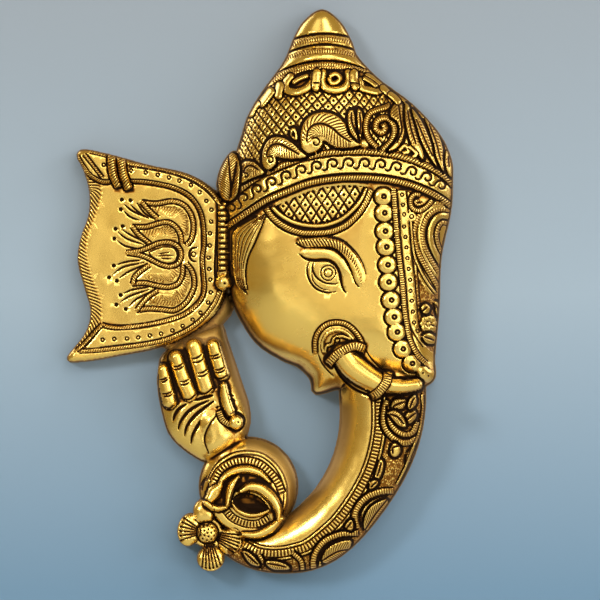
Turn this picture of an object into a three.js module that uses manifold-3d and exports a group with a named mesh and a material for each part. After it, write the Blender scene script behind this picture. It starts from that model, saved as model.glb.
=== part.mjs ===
// Cast brass wall mask: an elephant-headed figure in three-quarter view, with a tall crown, one spread ear,
// a raised hand, and a trunk that curls round a sweet above a flower. It is one hollow casting, open at the
// back. Sizes are in millimetres. The mask is drawn as it is seen: x to the right, y up, z out of the wall to
// the viewer, with zero at the middle of its height and width. The finished mesh is turned so that the
// drawing's y points up.
import * as THREE from "three";
import { mergeVertices } from "three/addons/utils/BufferGeometryUtils.js";
import Module from "manifold-3d";

const wasm = await Module();
wasm.setup();

// Driving dimensions
const WALL = 4; // thickness of the cast metal
const DRAFT = 1.6; // the sides lean out this much on their way to the wall
// Bar across the hollow of the crown, hung on a wall hook; each end stops short of the brim by its margin
const HANGER = { x: -9.5, y: 93, height: 9, thickness: 5, margin: 3.2 };

// Head: face and crown in one dome
const HEAD = {
  middle: [17.5, 30],
  edge: 8,
  rise: 34,
  tipRise: 17,
  reach: 32,
  outline: [
    [11, 145.8], [20.2, 139.6], [26.2, 129.4], [29, 122.2], [39.8, 110.8], [56.5, 98.2], [70, 83.4],
    [76.2, 70], [77, 58], [75.8, 44], [71, 21], [70, -4], [67.8, -28], [66.8, -41], [50, -47], [34, -45],
    [20, -45], [10.5, -47.5], [6, -46.5], [4.8, -40], [-1, -34], [-9.4, -30.4], [-21.6, -22.4], [-30.2, -10],
    [-35, 2], [-37.5, 20], [-38, 38], [-36, 60], [-29, 84], [-26, 93], [-18.8, 105], [-10.2, 116.6],
    [-6.6, 123], [-3, 132], [2, 140],
  ],
};

// Ear: a flat leaf with a raised rim, horned at its two outer corners
const EAR = {
  middle: [-74, 21],
  edge: 9,
  lean: 5, // the ear is this much deeper beside the head
  rim: { width: 6.2, lip: 3.4, rise: 2.6 }, // the rim narrows to a lip along the wavy outer edge
  outline: [
    [-113, 75.5], [-101, 74.2], [-90, 71.7], [-75, 67.6], [-57.5, 63.8], [-46, 57.8], [-38.5, 49],
    [-36.5, 30],
    [-36, 8], [-41, -6], [-55, -17.5], [-70, -24], [-90, -28], [-108, -31], [-119, -29.5], [-108, -17],
    [-105, -6], [-108, 6], [-111.4, 19], [-110, 31], [-106, 43], [-105.8, 55], [-109, 66],
  ],
};

// Trunk: swept along a widening arc, from under the tusk to the flower. Angles run clockwise from the right.
const TRUNK = {
  middle: [-22.5, -47.5],
  from: -24,
  to: 108,
  edge: 7,
};
const along = (degrees, span) => Math.max(degrees, 0) / span;
const innerRadius = (degrees) => 42 + 35.2 * along(degrees, 108) ** 1.5;
const outerRadius = (degrees) =>
  85.8 + 7 * Math.exp(-(((degrees - 69) / 21) ** 2)) - 0.02 * Math.max(degrees - 85, 0) ** 2;
const trunkRadius = (degrees) => (innerRadius(degrees) + outerRadius(degrees)) / 2;
const trunkHalfWidth = (degrees) => (outerRadius(degrees) - innerRadius(degrees)) / 2 - DRAFT;
const trunkRidge = (degrees) => 33 - 18 * along(degrees, 105) ** 1.3;
// Where the rope runs, from -1 at the inner side to 1 at the outer
const ropeShare = (degrees) => -0.14 + 0.34 * along(degrees, 77);

// Raised hand, its forearm behind the curl, and the short web that ties hand, ear and cheek together
const HAND = {
  middle: [-47.5, -52],
  edge: 6,
  rise: 12,
  reach: 11,
  outline: [
    [-69, -27], [-59, -19], [-47, -13], [-39, -12], [-36, -20], [-33, -29], [-29, -41], [-25.3, -52.5],
    [-25, -63], [-30, -74], [-44, -81.5], [-53.5, -78.6], [-65, -68.6], [-69.4, -56], [-71.6, -43],
    [-71, -33],
  ],
};
const FOREARM = { middle: [-25.8, -93.4], radius: 25, edge: 6, rise: 13, reach: 12 };
const WEB = {
  middle: [-45, -12],
  edge: 6,
  rise: 5,
  reach: 5,
  outline: [
    [-44, 4], [-36, 4], [-33.5, -5.5], [-39, -13.5], [-36, -19], [-42.5, -22.5], [-52.5, -22], [-64, -25],
    [-69, -22.5], [-61, -16], [-51, -9],
  ],
};
// Fingers: base, tip and radius of each, from the little finger to the forefinger
const FINGERS = [
  [[-65.2, -53], [-68.2, -33.6], 3.0],
  [[-55.3, -49.5], [-62.2, -26.5], 3.9],
  [[-47.8, -46.5], [-53, -21.5], 4.1],
  [[-38.6, -39], [-43.2, -21.5], 3.7],
];
const FINGER_AXIS = 19; // height of the fingers' axes above the wall

// Curl of the trunk and the sweet that it holds
const CURL = { middle: [-28.5, -97.5], ring: 18.6, crescent: 12, top: 21 };

// Flower at the end of the trunk
const FLOWER = {
  middle: [-46.3, -116.4],
  heart: 5.2,
  top: 16,
  // Turn, reach, half length and half width of each petal, as they spread unevenly
  petals: [[172, 9.4, 5.8, 8.4], [277, 13.2, 6.6, 7], [-20, 12.2, 6, 7], [100, 10.5, 6.4, 5.4]],
};

// Beads down the forehead, from under the band to the tusk: x, y and radius
const BEADS = [
  [41.5, 51.6, 4.3], [41.9, 43.5, 4.3], [42.3, 34.6, 4.4], [43, 26.4, 4.4], [43.4, 17.6, 4.4],
  [44.2, 9.2, 4.3], [45.4, 0, 4.3], [46.9, -8.5, 4.2], [48.4, -16.2, 4.1], [51.1, -24.2, 4.1],
  [55.7, -31.8, 3.9], [61.2, -36.8, 3.5],
];

// Curves through a few points, with their points evenly spaced
function curve(points, count, closed = false) {
  const path = new THREE.CatmullRomCurve3(
    points.map(([x, y, z = 0]) => new THREE.Vector3(x, y, z)), closed, "catmullrom", 0.5);
  const spaced = path.getSpacedPoints(count);
  return closed ? spaced.slice(0, -1) : spaced;
}

const circle = ([x, y], radius, count) =>
  Array.from({ length: count }, (_, i) => {
    const angle = (2 * Math.PI * i) / count;
    return new THREE.Vector3(x + radius * Math.cos(angle), y + radius * Math.sin(angle), 0);
  });

// Signed area tells which way an outline runs; the solids need it counterclockwise.
function counterclockwise(outline) {
  const area = THREE.ShapeUtils.area(outline);
  return area < 0 ? [...outline].reverse() : outline;
}

// Distance to an outline, smoothed so that no crease forms along its middle. Each straight stretch of the
// outline adds its own part of the integral of 1 / distance cubed, and an endless straight edge at distance a
// adds up to 2 / a^2.
function edgeDistance(outline, x, y) {
  let sum = 0;
  outline.forEach((p, i) => {
    const q = outline[(i + 1) % outline.length];
    const length = Math.hypot(q.x - p.x, q.y - p.y);
    const [ux, uy] = [(q.x - p.x) / length, (q.y - p.y) / length];
    const from = (p.x - x) * ux + (p.y - y) * uy;
    const to = from + length;
    const awaySquared = Math.max(((x - p.x) * uy - (y - p.y) * ux) ** 2, 1e-4);
    const slope = (run) => run / Math.sqrt(awaySquared + run * run);
    sum += (slope(to) - slope(from)) / awaySquared;
  });
  return Math.sqrt(2 / sum);
}

function inside(outline, x, y) {
  let odd = false;
  outline.forEach((p, i) => {
    const q = outline[(i + 1) % outline.length];
    if (p.y > y !== q.y > y && x < ((q.x - p.x) * (y - p.y)) / (q.y - p.y) + p.x) odd = !odd;
  });
  return odd;
}

// A quarter circle from 0 at the edge to 1 at the reach, and level beyond it
const swell = (share) => Math.sqrt(1 - (1 - Math.min(Math.max(share, 0), 1)) ** 2);
const smooth = (from, to, value) => THREE.MathUtils.smoothstep(value, from, to);

// An outline moved outwards by a distance, or inwards by a negative one
function offset(outline, distance) {
  return outline.map((p, i) => {
    const before = outline[(i + outline.length - 1) % outline.length];
    const after = outline[(i + 1) % outline.length];
    const [tx, ty] = [after.x - before.x, after.y - before.y];
    const length = Math.hypot(tx, ty);
    return new THREE.Vector3(p.x + (ty / length) * distance, p.y - (tx / length) * distance, 0);
  });
}

// The outlines are those of the feet on the wall; each form's brim is drawn in from its foot by the draft.
const brim = (points, count) => offset(counterclockwise(curve(points, count, true)), -DRAFT);
const headOutline = brim(HEAD.outline, 56);
const earOutline = brim(EAR.outline, 40);
const handOutline = brim(HAND.outline, 28);
const forearmOutline = circle(FOREARM.middle, FOREARM.radius - DRAFT, 20);
const webOutline = brim(WEB.outline, 22);

// Height of each form above the wall
function headHeight(x, y) {
  const rise = HEAD.rise - (HEAD.rise - HEAD.tipRise) * smooth(80, 140, y);
  return HEAD.edge + rise * swell(edgeDistance(headOutline, x, y) / HEAD.reach);
}
const earHeight = (x) => EAR.edge + EAR.lean * smooth(-112, -36, x);
const domeHeight = (form, outline) => (x, y) =>
  form.edge + form.rise * swell(edgeDistance(outline, x, y) / form.reach);
const handHeight = domeHeight(HAND, handOutline);
const forearmHeight = domeHeight(FOREARM, forearmOutline);
const webHeight = domeHeight(WEB, webOutline);
const trunkHeight = (degrees, share) =>
  TRUNK.edge + (trunkRidge(degrees) - TRUNK.edge) * Math.sqrt(Math.max(1 - Math.abs(share) ** 2.4, 0));

function trunkPlace(degrees, share) {
  const radius = trunkRadius(degrees) + share * trunkHalfWidth(degrees);
  const angle = THREE.MathUtils.degToRad(-degrees);
  return [TRUNK.middle[0] + radius * Math.cos(angle), TRUNK.middle[1] + radius * Math.sin(angle)];
}

function trunkAt(x, y) {
  const [dx, dy] = [x - TRUNK.middle[0], y - TRUNK.middle[1]];
  const degrees = THREE.MathUtils.radToDeg(Math.atan2(-dy, dx));
  const share = (Math.hypot(dx, dy) - trunkRadius(degrees)) / trunkHalfWidth(degrees);
  const onTrunk = degrees > TRUNK.from && degrees < TRUNK.to && Math.abs(share) < 1;
  return onTrunk ? trunkHeight(degrees, share) : 0;
}

// The surface that the ornaments lie on: the highest of the forms at a place
function surface(x, y) {
  return Math.max(
    trunkAt(x, y),
    inside(headOutline, x, y) ? headHeight(x, y) : 0,
    inside(earOutline, x, y) ? earHeight(x) : 0,
    inside(handOutline, x, y) ? handHeight(x, y) : 0,
    inside(forearmOutline, x, y) ? forearmHeight(x, y) : 0,
  );
}

// A closed solid from positions and triangles, turned the right way out
function solid(positions, triangles) {
  const vertProperties = new Float32Array(positions);
  const build = (tris) =>
    new wasm.Manifold(new wasm.Mesh({ numProp: 3, vertProperties, triVerts: new Uint32Array(tris) }));
  const made = build(triangles);
  if (made.volume() > 0) return made;
  const turned = [];
  for (let i = 0; i < triangles.length; i += 3) turned.push(triangles[i], triangles[i + 2], triangles[i + 1]);
  return build(turned);
}

function fromGeometry(geometry) {
  const bare = geometry.clone();
  bare.deleteAttribute("normal");
  bare.deleteAttribute("uv");
  const merged = mergeVertices(bare, 1e-3);
  return solid([...merged.attributes.position.array], [...merged.index.array]);
}

// Rings of points, one after another, joined into a closed solid with a fan at each end. A ring has as
// many points as the one before it, or half as many, which keeps the triangles well shaped towards a
// middle.
function loft(rings, first, last) {
  const points = [...rings.flat(), first, last];
  const triangles = [];
  const fan = (start, count, end, onward) => {
    for (let i = 0; i < count; i++) {
      const pair = [start + i, start + ((i + 1) % count)];
      triangles.push(end, ...(onward ? pair : pair.reverse()));
    }
  };
  let start = 0;
  rings.slice(0, -1).forEach((ring, r) => {
    const next = rings[r + 1];
    const share = next.length / ring.length;
    const nextStart = start + ring.length;
    const beside = (i) => nextStart + (Math.floor(i * share) % next.length);
    for (let i = 0; i < ring.length; i++) {
      const onward = start + ((i + 1) % ring.length);
      triangles.push(start + i, onward, beside(i + 1));
      if (beside(i) !== beside(i + 1)) triangles.push(start + i, beside(i + 1), beside(i));
    }
    start = nextStart;
  });
  fan(0, rings[0].length, points.length - 2, false);
  fan(start, rings.at(-1).length, points.length - 1, true);
  return solid(points.flatMap((p) => [p.x, p.y, p.z]), triangles);
}

// An outline drawn in towards its middle until it is a distance from the edge, which may differ from place
// to place
function inset(outline, [mx, my], distance) {
  const middle = new THREE.Vector3(mx, my, 0);
  return outline.map((p) => {
    const q = p.clone();
    for (let share = 0; edgeDistance(outline, q.x, q.y) < distance(p) && share < 0.9; share += 0.01)
      q.lerpVectors(p, middle, share);
    return q;
  });
}

const atHeight = (ring, z) => ring.map((p) => new THREE.Vector3(p.x, p.y, z));

const everyNth = (ring, n) => ring.filter((_, i) => i % n === 0);

// Rings over a form, each one a share of the way from its outline to its middle, with every nth point of the
// outline
const closingIn = (outline, [mx, my], levels, height) =>
  levels.map(([share, n]) =>
    everyNth(outline, n).map((p) => {
      const q = p.clone().lerp(new THREE.Vector3(mx, my, 0), share);
      return q.setZ(height(q.x, q.y));
    }));

// A form standing on the wall: leaning sides up to its edge, then rings that close in on its middle
const dome = (outline, [mx, my], edge, height, levels) =>
  loft(
    [
      atHeight(offset(outline, DRAFT), 0), atHeight(outline, edge),
      ...closingIn(outline, [mx, my], levels, height),
    ],
    new THREE.Vector3(mx, my, 0), new THREE.Vector3(mx, my, height(mx, my)));

// The hollow behind a form: its outline taken in by the wall, and its height less the wall
function hollow(outline, [mx, my], height, levels) {
  const narrowed = everyNth(inset(outline, [mx, my], () => WALL), 2);
  const under = (x, y) => Math.max(height(x, y) - WALL, 1);
  return loft([atHeight(narrowed, -1), ...closingIn(narrowed, [mx, my], levels, under)],
    new THREE.Vector3(mx, my, -1), new THREE.Vector3(mx, my, under(mx, my)));
}

// The trunk, or with a wall its hollow: one section at each angle, from the inner side over the ridge to the
// outer side
function trunk(from, to, steps, shares, wall = 0) {
  const bottom = wall ? -1 : 0;
  const lean = wall ? DRAFT / 2 : DRAFT;
  const rings = [];
  for (let i = 0; i <= steps; i++) {
    const degrees = from + ((to - from) * i) / steps;
    const narrow = 1 - wall / trunkHalfWidth(degrees);
    const foot = (side) => {
      const [x, y] = trunkPlace(degrees, side * (narrow + lean / trunkHalfWidth(degrees)));
      return new THREE.Vector3(x, y, bottom);
    };
    const over = shares.map((share) => {
      const [x, y] = trunkPlace(degrees, share * narrow);
      return new THREE.Vector3(x, y, Math.max(trunkHeight(degrees, share * narrow) - wall, 1));
    });
    rings.push([foot(-1), ...over, foot(1)]);
  }
  const core = (degrees) => {
    const [x, y] = trunkPlace(degrees, 0);
    return new THREE.Vector3(x, y, TRUNK.edge / 2);
  };
  return loft(rings, core(from), core(to));
}

// A rod along a path, oval across: size gives its half width and half height at each share of the way
function rod(path, size, sides = 4) {
  const rings = path.map((p, i) => {
    const before = path[Math.max(i - 1, 0)];
    const after = path[Math.min(i + 1, path.length - 1)];
    const run = after.clone().sub(before).setZ(0).normalize();
    const across = new THREE.Vector3(-run.y, run.x, 0);
    const [halfWidth, halfHeight] = size(i / (path.length - 1));
    return Array.from({ length: sides }, (_, k) => {
      const angle = (2 * Math.PI * k) / sides;
      const q = p.clone().addScaledVector(across, halfWidth * Math.cos(angle));
      q.z += halfHeight * Math.sin(angle);
      return q;
    });
  });
  return loft(rings, path[0], path[path.length - 1]);
}

// A strip along a path, wrapped over the surface: its profile gives places across it and heights above the
// surface, and its underside is sunk
function wrapped(path, profile, level) {
  const sunk = -3;
  const section = [...profile, [profile.at(-1)[0], sunk], [profile[0][0], sunk]];
  const rings = path.map((p, i) => {
    const run = path[Math.min(i + 1, path.length - 1)].clone().sub(path[Math.max(i - 1, 0)]).normalize();
    return section.map(([across, lift]) => {
      const q = new THREE.Vector3(p.x - run.y * across, p.y + run.x * across, 0);
      return q.setZ(level(q.x, q.y) + lift);
    });
  });
  const core = (p) => new THREE.Vector3(p.x, p.y, level(p.x, p.y) + sunk / 2);
  return loft(rings, core(path[0]), core(path.at(-1)));
}

// A ridge laid along a path: size gives half its width and its height above the surface at each share of
// the way
function ridge(points, count, size, level = surface) {
  const path = curve(points, count);
  const spread = 1.4; // its foot is this much wider than it is at the surface
  const rings = path.map((p, i) => {
    const run = path[Math.min(i + 1, count)].clone().sub(path[Math.max(i - 1, 0)]).normalize();
    const [halfWidth, height] = size(i / count);
    return [[-spread, 1 - spread], [0, 1], [spread, 1 - spread]].map(([across, lift]) => {
      const q = new THREE.Vector3(p.x - run.y * across * halfWidth, p.y + run.x * across * halfWidth, 0);
      return q.setZ(level(q.x, q.y) + lift * height);
    });
  });
  const core = (p) => new THREE.Vector3(p.x, p.y, level(p.x, p.y) + 0.2);
  return loft(rings, core(path[0]), core(path.at(-1)));
}

const steady = (halfWidth, halfHeight = halfWidth) => () => [halfWidth, halfHeight];
// A leaf swells from a point to its full width and closes to a point again
const leafy = (halfWidth, halfHeight) => (share) => {
  const full = Math.max(Math.sin(Math.PI * Math.min(Math.max(share, 0.04), 0.97)) ** 0.7, 0.25);
  return [halfWidth * full, halfHeight];
};
const ball = ([x, y, z], [rx, ry, rz], sides = 8, rows = 3) =>
  fromGeometry(new THREE.SphereGeometry(1, sides, rows).rotateX(Math.PI / 2)
    .scale(rx, ry, rz).translate(x, y, z));

// A mound on the surface, lying as it slopes: half its length, half its width and its height, turned by an
// angle
function mound([x, y], [halfLength, halfWidth, height], degrees = 0, sides = 6) {
  const step = 1;
  const upright = new THREE.Vector3(
    surface(x - step, y) - surface(x + step, y),
    surface(x, y - step) - surface(x, y + step),
    2 * step).normalize();
  const tilt = new THREE.Quaternion().setFromUnitVectors(new THREE.Vector3(0, 0, 1), upright);
  return fromGeometry(new THREE.SphereGeometry(1, sides, 3).rotateX(Math.PI / 2)
    .scale(halfLength, halfWidth, height).rotateZ(THREE.MathUtils.degToRad(degrees)).applyQuaternion(tilt)
    .translate(x, y, surface(x, y)));
}

// The ear: its edge, then the outer and inner corners of the rim's crest, then the foot of the rim and the
// level field
function ear() {
  const rimWidth = ({ x }) => EAR.rim.lip + (EAR.rim.width - EAR.rim.lip) * smooth(-110, -98, x);
  const ringAt = (share, lift) =>
    inset(earOutline, EAR.middle, (p) => share * rimWidth(p)).map((q) => q.setZ(earHeight(q.x) + lift));
  const [mx, my] = EAR.middle;
  return loft([
    atHeight(offset(earOutline, DRAFT), 0), ringAt(0, 0.8),
    ringAt(0.2, EAR.rim.rise), ringAt(0.75, EAR.rim.rise),
    ringAt(1, 0), ...closingIn(earOutline, EAR.middle, [[0.35, 2], [0.7, 4]], earHeight),
  ], new THREE.Vector3(mx, my, 0), new THREE.Vector3(mx, my, earHeight(mx)));
}

const forms = [
  dome(headOutline, HEAD.middle, HEAD.edge, headHeight,
    [[0.07, 1], [0.2, 1], [0.38, 2], [0.58, 2], [0.78, 4]]),
  ear(),
  dome(handOutline, HAND.middle, HAND.edge, handHeight, [[0.12, 1], [0.45, 2]]),
  dome(forearmOutline, FOREARM.middle, FOREARM.edge, forearmHeight, [[0.12, 1], [0.45, 2]]),
  dome(webOutline, WEB.middle, WEB.edge, webHeight, [[0.3, 1]]),
  trunk(TRUNK.from, TRUNK.to, 18, [-1, -0.85, -0.45, 0.05, 0.5, 0.87, 1]),
];

function faceOrnaments() {
  const upperLid = [[-0.5, 23], [7.5, 20.5], [14.5, 19.5], [19, 14.5], [21, 8], [22.8, 4]];
  const lowerLid = [[4, 18.5], [3, 12.5], [7.5, 6.8], [13.5, 4], [19, 5.2]];
  const brow = [[-1.8, 28.5], [6, 29.8], [16.5, 29.3], [24.5, 24], [29.5, 16], [31, 8.5]];
  const crescent = [[-17, 46.5], [-9.5, 39], [-1.5, 34.5], [7.5, 32], [21.5, 35], [32, 44.5], [36.5, 54]];
  const templeArc = [[66, 47], [59.6, 41.4], [57.4, 33.6], [58.3, 26.6], [62.2, 17.1], [66, 9.5]];
  return [
    mound([13.5, 12.8], [6.6, 5.6, 3.4], 0, 8),
    mound([14.2, 12.8], [3, 3, 5]),
    ridge(upperLid, 6, leafy(1.9, 2)),
    ridge(lowerLid, 5, steady(1.2, 1.4)),
    ridge(brow, 7, leafy(2.4, 1.9)),
    ridge(crescent, 8, steady(2.2, 1.9)),
    ridge(templeArc, 5, steady(1.8, 1.8)),
    mound([63.5, -10], [4.5, 4, 3.4], 90),
    mound([-29.5, 22], [17, 4.6, 3], 100),
    ...BEADS.map(([x, y, radius]) => mound([x, y], [radius, radius, 3.1])),
  ];
}

function tuskOrnaments() {
  const root = surface(31, -36);
  const first = curve([[22, -28, root + 1], [30, -35.5, root + 4], [40, -42, root + 6]], 4);
  const second = curve([[41, -42.3, root + 6], [50, -43.6, root + 6.5], [59, -42.6, root + 4]], 4);
  const socket = [[8.5, -28], [8, -18.5], [12.5, -12.4], [19.5, -11.6], [27, -16], [32, -24.5]];
  const cuff = [[14.5, -31], [18.5, -26], [25, -23], [31.5, -24.5]];
  const collar = [[38.3, -46, root + 6], [42, -38.4, root + 6.5]];
  return [
    rod(first, (share) => [5.9 - share, 5.4 - share], 7),
    rod(second, (share) => [3.6 - share, 3.6 - share], 6),
    ridge(socket, 7, steady(2, 2.4)),
    ridge(cuff, 4, steady(2, 4.4)),
    rod(curve(collar, 2), steady(2, 5.6), 6),
    mound([19.5, -19.5], [6.2, 4.6, 3]),
  ];
}

function crownOrnaments() {
  // Rings round the crown's tip: height, left and right ends, and radius
  const rings = [[130, -3, 25, 2], [123.6, -6, 29, 2.5], [118, -8.5, 31.5, 2.7], [112.6, -13.5, 37, 2.4]];
  const bow = 2.2; // the rings are seen a little from below, so their middles stand higher
  // Petals hanging from the lowest ring: place, half width and half height
  const petals = [
    [-19, 99.5, 5.8, 3.8], [-1.3, 106.8, 6.6, 4.2], [17.8, 110, 7.6, 4.6], [35.3, 107.8, 6.6, 4.2],
    [48.5, 100.5, 5, 3.4],
  ];
  // The band is a strip of scrollwork between two ropes
  const band = [[-31.5, 47.6], [-16, 57], [3, 64], [22.5, 66.6], [41.5, 66.4], [58, 62.5], [71, 57]];
  const bandProfile = [[-11, 0.2], [-9.4, 2.6], [-7, 0.9], [6, 0.9], [8, 2.4], [9.6, 0.2]];
  // Leaves above the band: place, half length, half width and turn
  const leaves = [
    [-25.5, 61, 7, 3.6, 30], [-9, 75.5, 11, 5, -12], [14.5, 85, 13.5, 6.5, -20], [30, 86.5, 9, 4, 90],
    [41.5, 85, 8.5, 6.5, 60], [51, 85, 13, 3.8, 82], [58.5, 81, 12.5, 3.2, 103], [65.5, 77, 10.5, 2.8, 108],
  ];
  const templeLeaf = [[-38.8, 47.5, 13], [-38, 60, 13], [-33.5, 74, 13]];
  return [
    mound([10, 134.5], [10.5, 5, 4.5], 0, 8),
    ...rings.map(([y, left, right, radius]) =>
      ridge([[left, y - bow], [(left + right) / 2, y + 1], [right, y - bow]], 6, steady(radius), headHeight)),
    ...petals.map(([x, y, halfWidth, halfHeight]) => mound([x, y], [halfWidth, halfHeight, 3.2], 0, 8)),
    wrapped(curve(band, 12), bandProfile, headHeight),
    ...leaves.map(([x, y, length, width, turn]) => mound([x, y], [length, width, 2.6], turn, 8)),
    rod(curve(templeLeaf, 4), leafy(4.8, 8), 6),
  ];
}

function earOrnaments() {
  const petals = [
    [[-79, 60], [-63, 63], [-52, 57], [-48, 44.5], [-51, 35]],
    [[-84, 48.5], [-73, 53], [-61, 51], [-54.5, 43.5], [-54.8, 33]],
    [[-83.5, 23.5], [-77, 16.5], [-66, 11.5], [-56, 16.5], [-54.6, 26.5]],
    [[-81, 8], [-68, 4.5], [-56, 6], [-49, 15], [-51, 25]],
  ];
  const heart = [[-87, 35.5], [-73, 39.5], [-61, 39.5], [-54.5, 33], [-60, 26.3], [-72, 27.5]];
  const knots = [-93.5, -89.5];
  const spring = [[-37.2, 47, 17], [-37, 28, 17], [-37, 10, 17]];
  const ribs = 8;
  return [
    ...petals.map((petal) => ridge(petal, 5, steady(1.3, 1.2), earHeight)),
    ridge(heart, 6, steady(1.4, 1.3), earHeight),
    ...knots.map((x) =>
      rod(curve([[x + 0.5, 73, 8], [x + 1, 68.5, 16], [x + 2.5, 60.5, 12]], 4), steady(2, 3))),
    rod(curve(spring, 2 * ribs),
      (share) => Array(2).fill(2.6 - 0.5 * Math.cos(share * ribs * 2 * Math.PI)), 6),
    ball([-36.6, 5.5, 17], [3.6, 4.2, 4.2], 7, 4),
  ];
}

function handOrnaments() {
  const finger = ([base, tip, radius]) => {
    const path = curve([[...base, FINGER_AXIS - 1], [...tip, FINGER_AXIS]], 4);
    const round = (share) => (share > 0.9 ? 0.45 : 1);
    return rod(path, (share) => [radius * round(share), (radius + 0.8) * round(share)], 6);
  };
  const thumb = curve([[-37.6, -30.5, 20], [-36.8, -38, 21], [-34.5, -47.5, 21]], 4);
  return [
    ...FINGERS.map(finger),
    rod(thumb, leafy(4.2, 4.6), 6),
    mound([-32, -50.5], [3.8, 3.8, 6], 0, 7),
    mound([-40.5, -60], [9.4, 7.4, 6], 90, 8),
    mound([-54, -62.5], [11.5, 12.5, 4], 0, 8),
  ];
}

function curlOrnaments() {
  const [cx, cy] = CURL.middle;
  const arc = (radius, from, to, count) =>
    Array.from({ length: count }, (_, i) => {
      const angle = THREE.MathUtils.degToRad(from + ((to - from) * i) / (count - 1));
      return [cx + radius * Math.cos(angle), cy + radius * Math.sin(angle), CURL.top];
    });
  return [
    rod(curve(arc(CURL.ring, 160, -40, 7), 9), steady(2.8, 3.2)),
    rod(curve(arc(CURL.crescent, 130, -50, 6), 6), leafy(4, 3.8)),
    rod(curve([[-38.5, -103.5, 20], [-30, -108.5, 21], [-18, -109.5, 20], [-10.5, -105.5, 19]], 6),
      steady(2.6, 2.8)),
    mound([-41, -100], [8, 3.6, 4.5], -30),
    mound([-24, -99], [9.5, 7, 5.5], -20, 8),
  ];
}

function flowerOrnaments() {
  const [fx, fy] = FLOWER.middle;
  const drum = (radius, height) =>
    new THREE.CylinderGeometry(radius, radius + 0.1, height, 10).rotateX(Math.PI / 2);
  const petals = FLOWER.petals.map(([degrees, reach, length, width]) => {
    const turn = THREE.MathUtils.degToRad(degrees);
    return fromGeometry(drum(1, FLOWER.top).scale(length, width, 1).rotateZ(turn)
      .translate(fx + reach * Math.cos(turn), fy + reach * Math.sin(turn), FLOWER.top / 2));
  });
  return [
    ...petals,
    fromGeometry(drum(8, FLOWER.top - 2).translate(fx, fy, (FLOWER.top - 2) / 2)),
    ball([fx, fy, FLOWER.top], [FLOWER.heart, FLOWER.heart, 4.6], 8, 4),
  ];
}

function trunkOrnaments() {
  const onTrunk = (degrees, share, lift = 0) =>
    new THREE.Vector3(...trunkPlace(degrees, share), trunkHeight(degrees, share) + lift);
  const rope = Array.from({ length: 12 }, (_, i) => trunkPlace(2 + 8 * i, ropeShare(2 + 8 * i)));
  // Medallions on the outer side: angle along the trunk, place across it, half width and half length
  const medallions = [[6, 0.42, 6.5, 7], [52, 0.55, 7.5, 5.2], [72, 0.62, 6.5, 4.2]];
  return [
    ridge(rope, 12, (share) => [2 - 0.7 * share, 2 - 0.6 * share], trunkAt),
    ...medallions.map(([degrees, share, halfWidth, halfLength]) => {
      const { x, y, z } = onTrunk(degrees, share, -0.4);
      return fromGeometry(new THREE.SphereGeometry(1, 8, 3).rotateX(Math.PI / 2)
        .scale(halfWidth, halfLength, 2.6)
        .rotateZ(THREE.MathUtils.degToRad(90 - degrees)).translate(x, y, z));
    }),
  ];
}

const hollows = [
  hollow(headOutline, HEAD.middle, headHeight, [[0, 1], [0.18, 1], [0.45, 2]]),
  hollow(earOutline, EAR.middle, earHeight, [[0, 1]]),
  hollow(handOutline, HAND.middle, handHeight, [[0, 1], [0.35, 1]]),
  hollow(forearmOutline, FOREARM.middle, forearmHeight, [[0, 1], [0.35, 1]]),
  trunk(TRUNK.from + 14, TRUNK.to - 22, 12, [-1, -0.85, 0, 0.85, 1], WALL),
];

// Bar across the crown's hollow, flush with the back, that the mask hangs by
function hangingBar() {
  const reach = (side) => {
    let x = HANGER.x;
    while (inside(headOutline, x + side * HANGER.margin, HANGER.y)) x += side * 0.5;
    return x;
  };
  const [left, right] = [reach(-1), reach(1)];
  return fromGeometry(new THREE.BoxGeometry(right - left, HANGER.height, HANGER.thickness)
    .translate((left + right) / 2, HANGER.y, HANGER.thickness / 2));
}

const join = (solids) => solids.reduce((all, next) => all.add(next));
const ornaments = [
  ...faceOrnaments(), ...tuskOrnaments(), ...crownOrnaments(), ...earOrnaments(), ...handOrnaments(),
  ...curlOrnaments(), ...flowerOrnaments(), ...trunkOrnaments(),
];
const joined = join([...forms, ...ornaments]).subtract(join(hollows)).add(hangingBar());
// Where ornaments cross, slivers narrower than the seam and small shut pockets can be left; neither is in a
// casting.
const SEAM = 0.04;
const casting = joined.simplify(SEAM).decompose()
  .reduce((largest, piece) => (piece.volume() > largest.volume() ? piece : largest));

function toGeometry(manifold) {
  const mesh = manifold.getMesh();
  const geometry = new THREE.BufferGeometry();
  const positions = new Float32Array(mesh.numVert * 3);
  for (let i = 0; i < mesh.numVert; i++)
    for (let k = 0; k < 3; k++) positions[3 * i + k] = mesh.vertProperties[mesh.numProp * i + k];
  geometry.setAttribute("position", new THREE.BufferAttribute(positions, 3));
  geometry.setIndex(new THREE.BufferAttribute(mesh.triVerts, 1));
  geometry.computeVertexNormals();
  return geometry;
}

const brass = new THREE.MeshStandardMaterial({ color: 0xc39a3c, roughness: 0.3, metalness: 1 });
const mask = new THREE.Mesh(toGeometry(casting), brass);
mask.name = "ganesha_mask";
mask.rotation.x = Math.PI / 2;
mask.position.set(-HANGER.x, 0, -HANGER.y);

const part = new THREE.Group();
part.add(mask);
export default part;
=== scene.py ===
import math

import bpy
import numpy as np
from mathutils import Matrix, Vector
from mathutils.geometry import delaunay_2d_cdt


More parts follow.
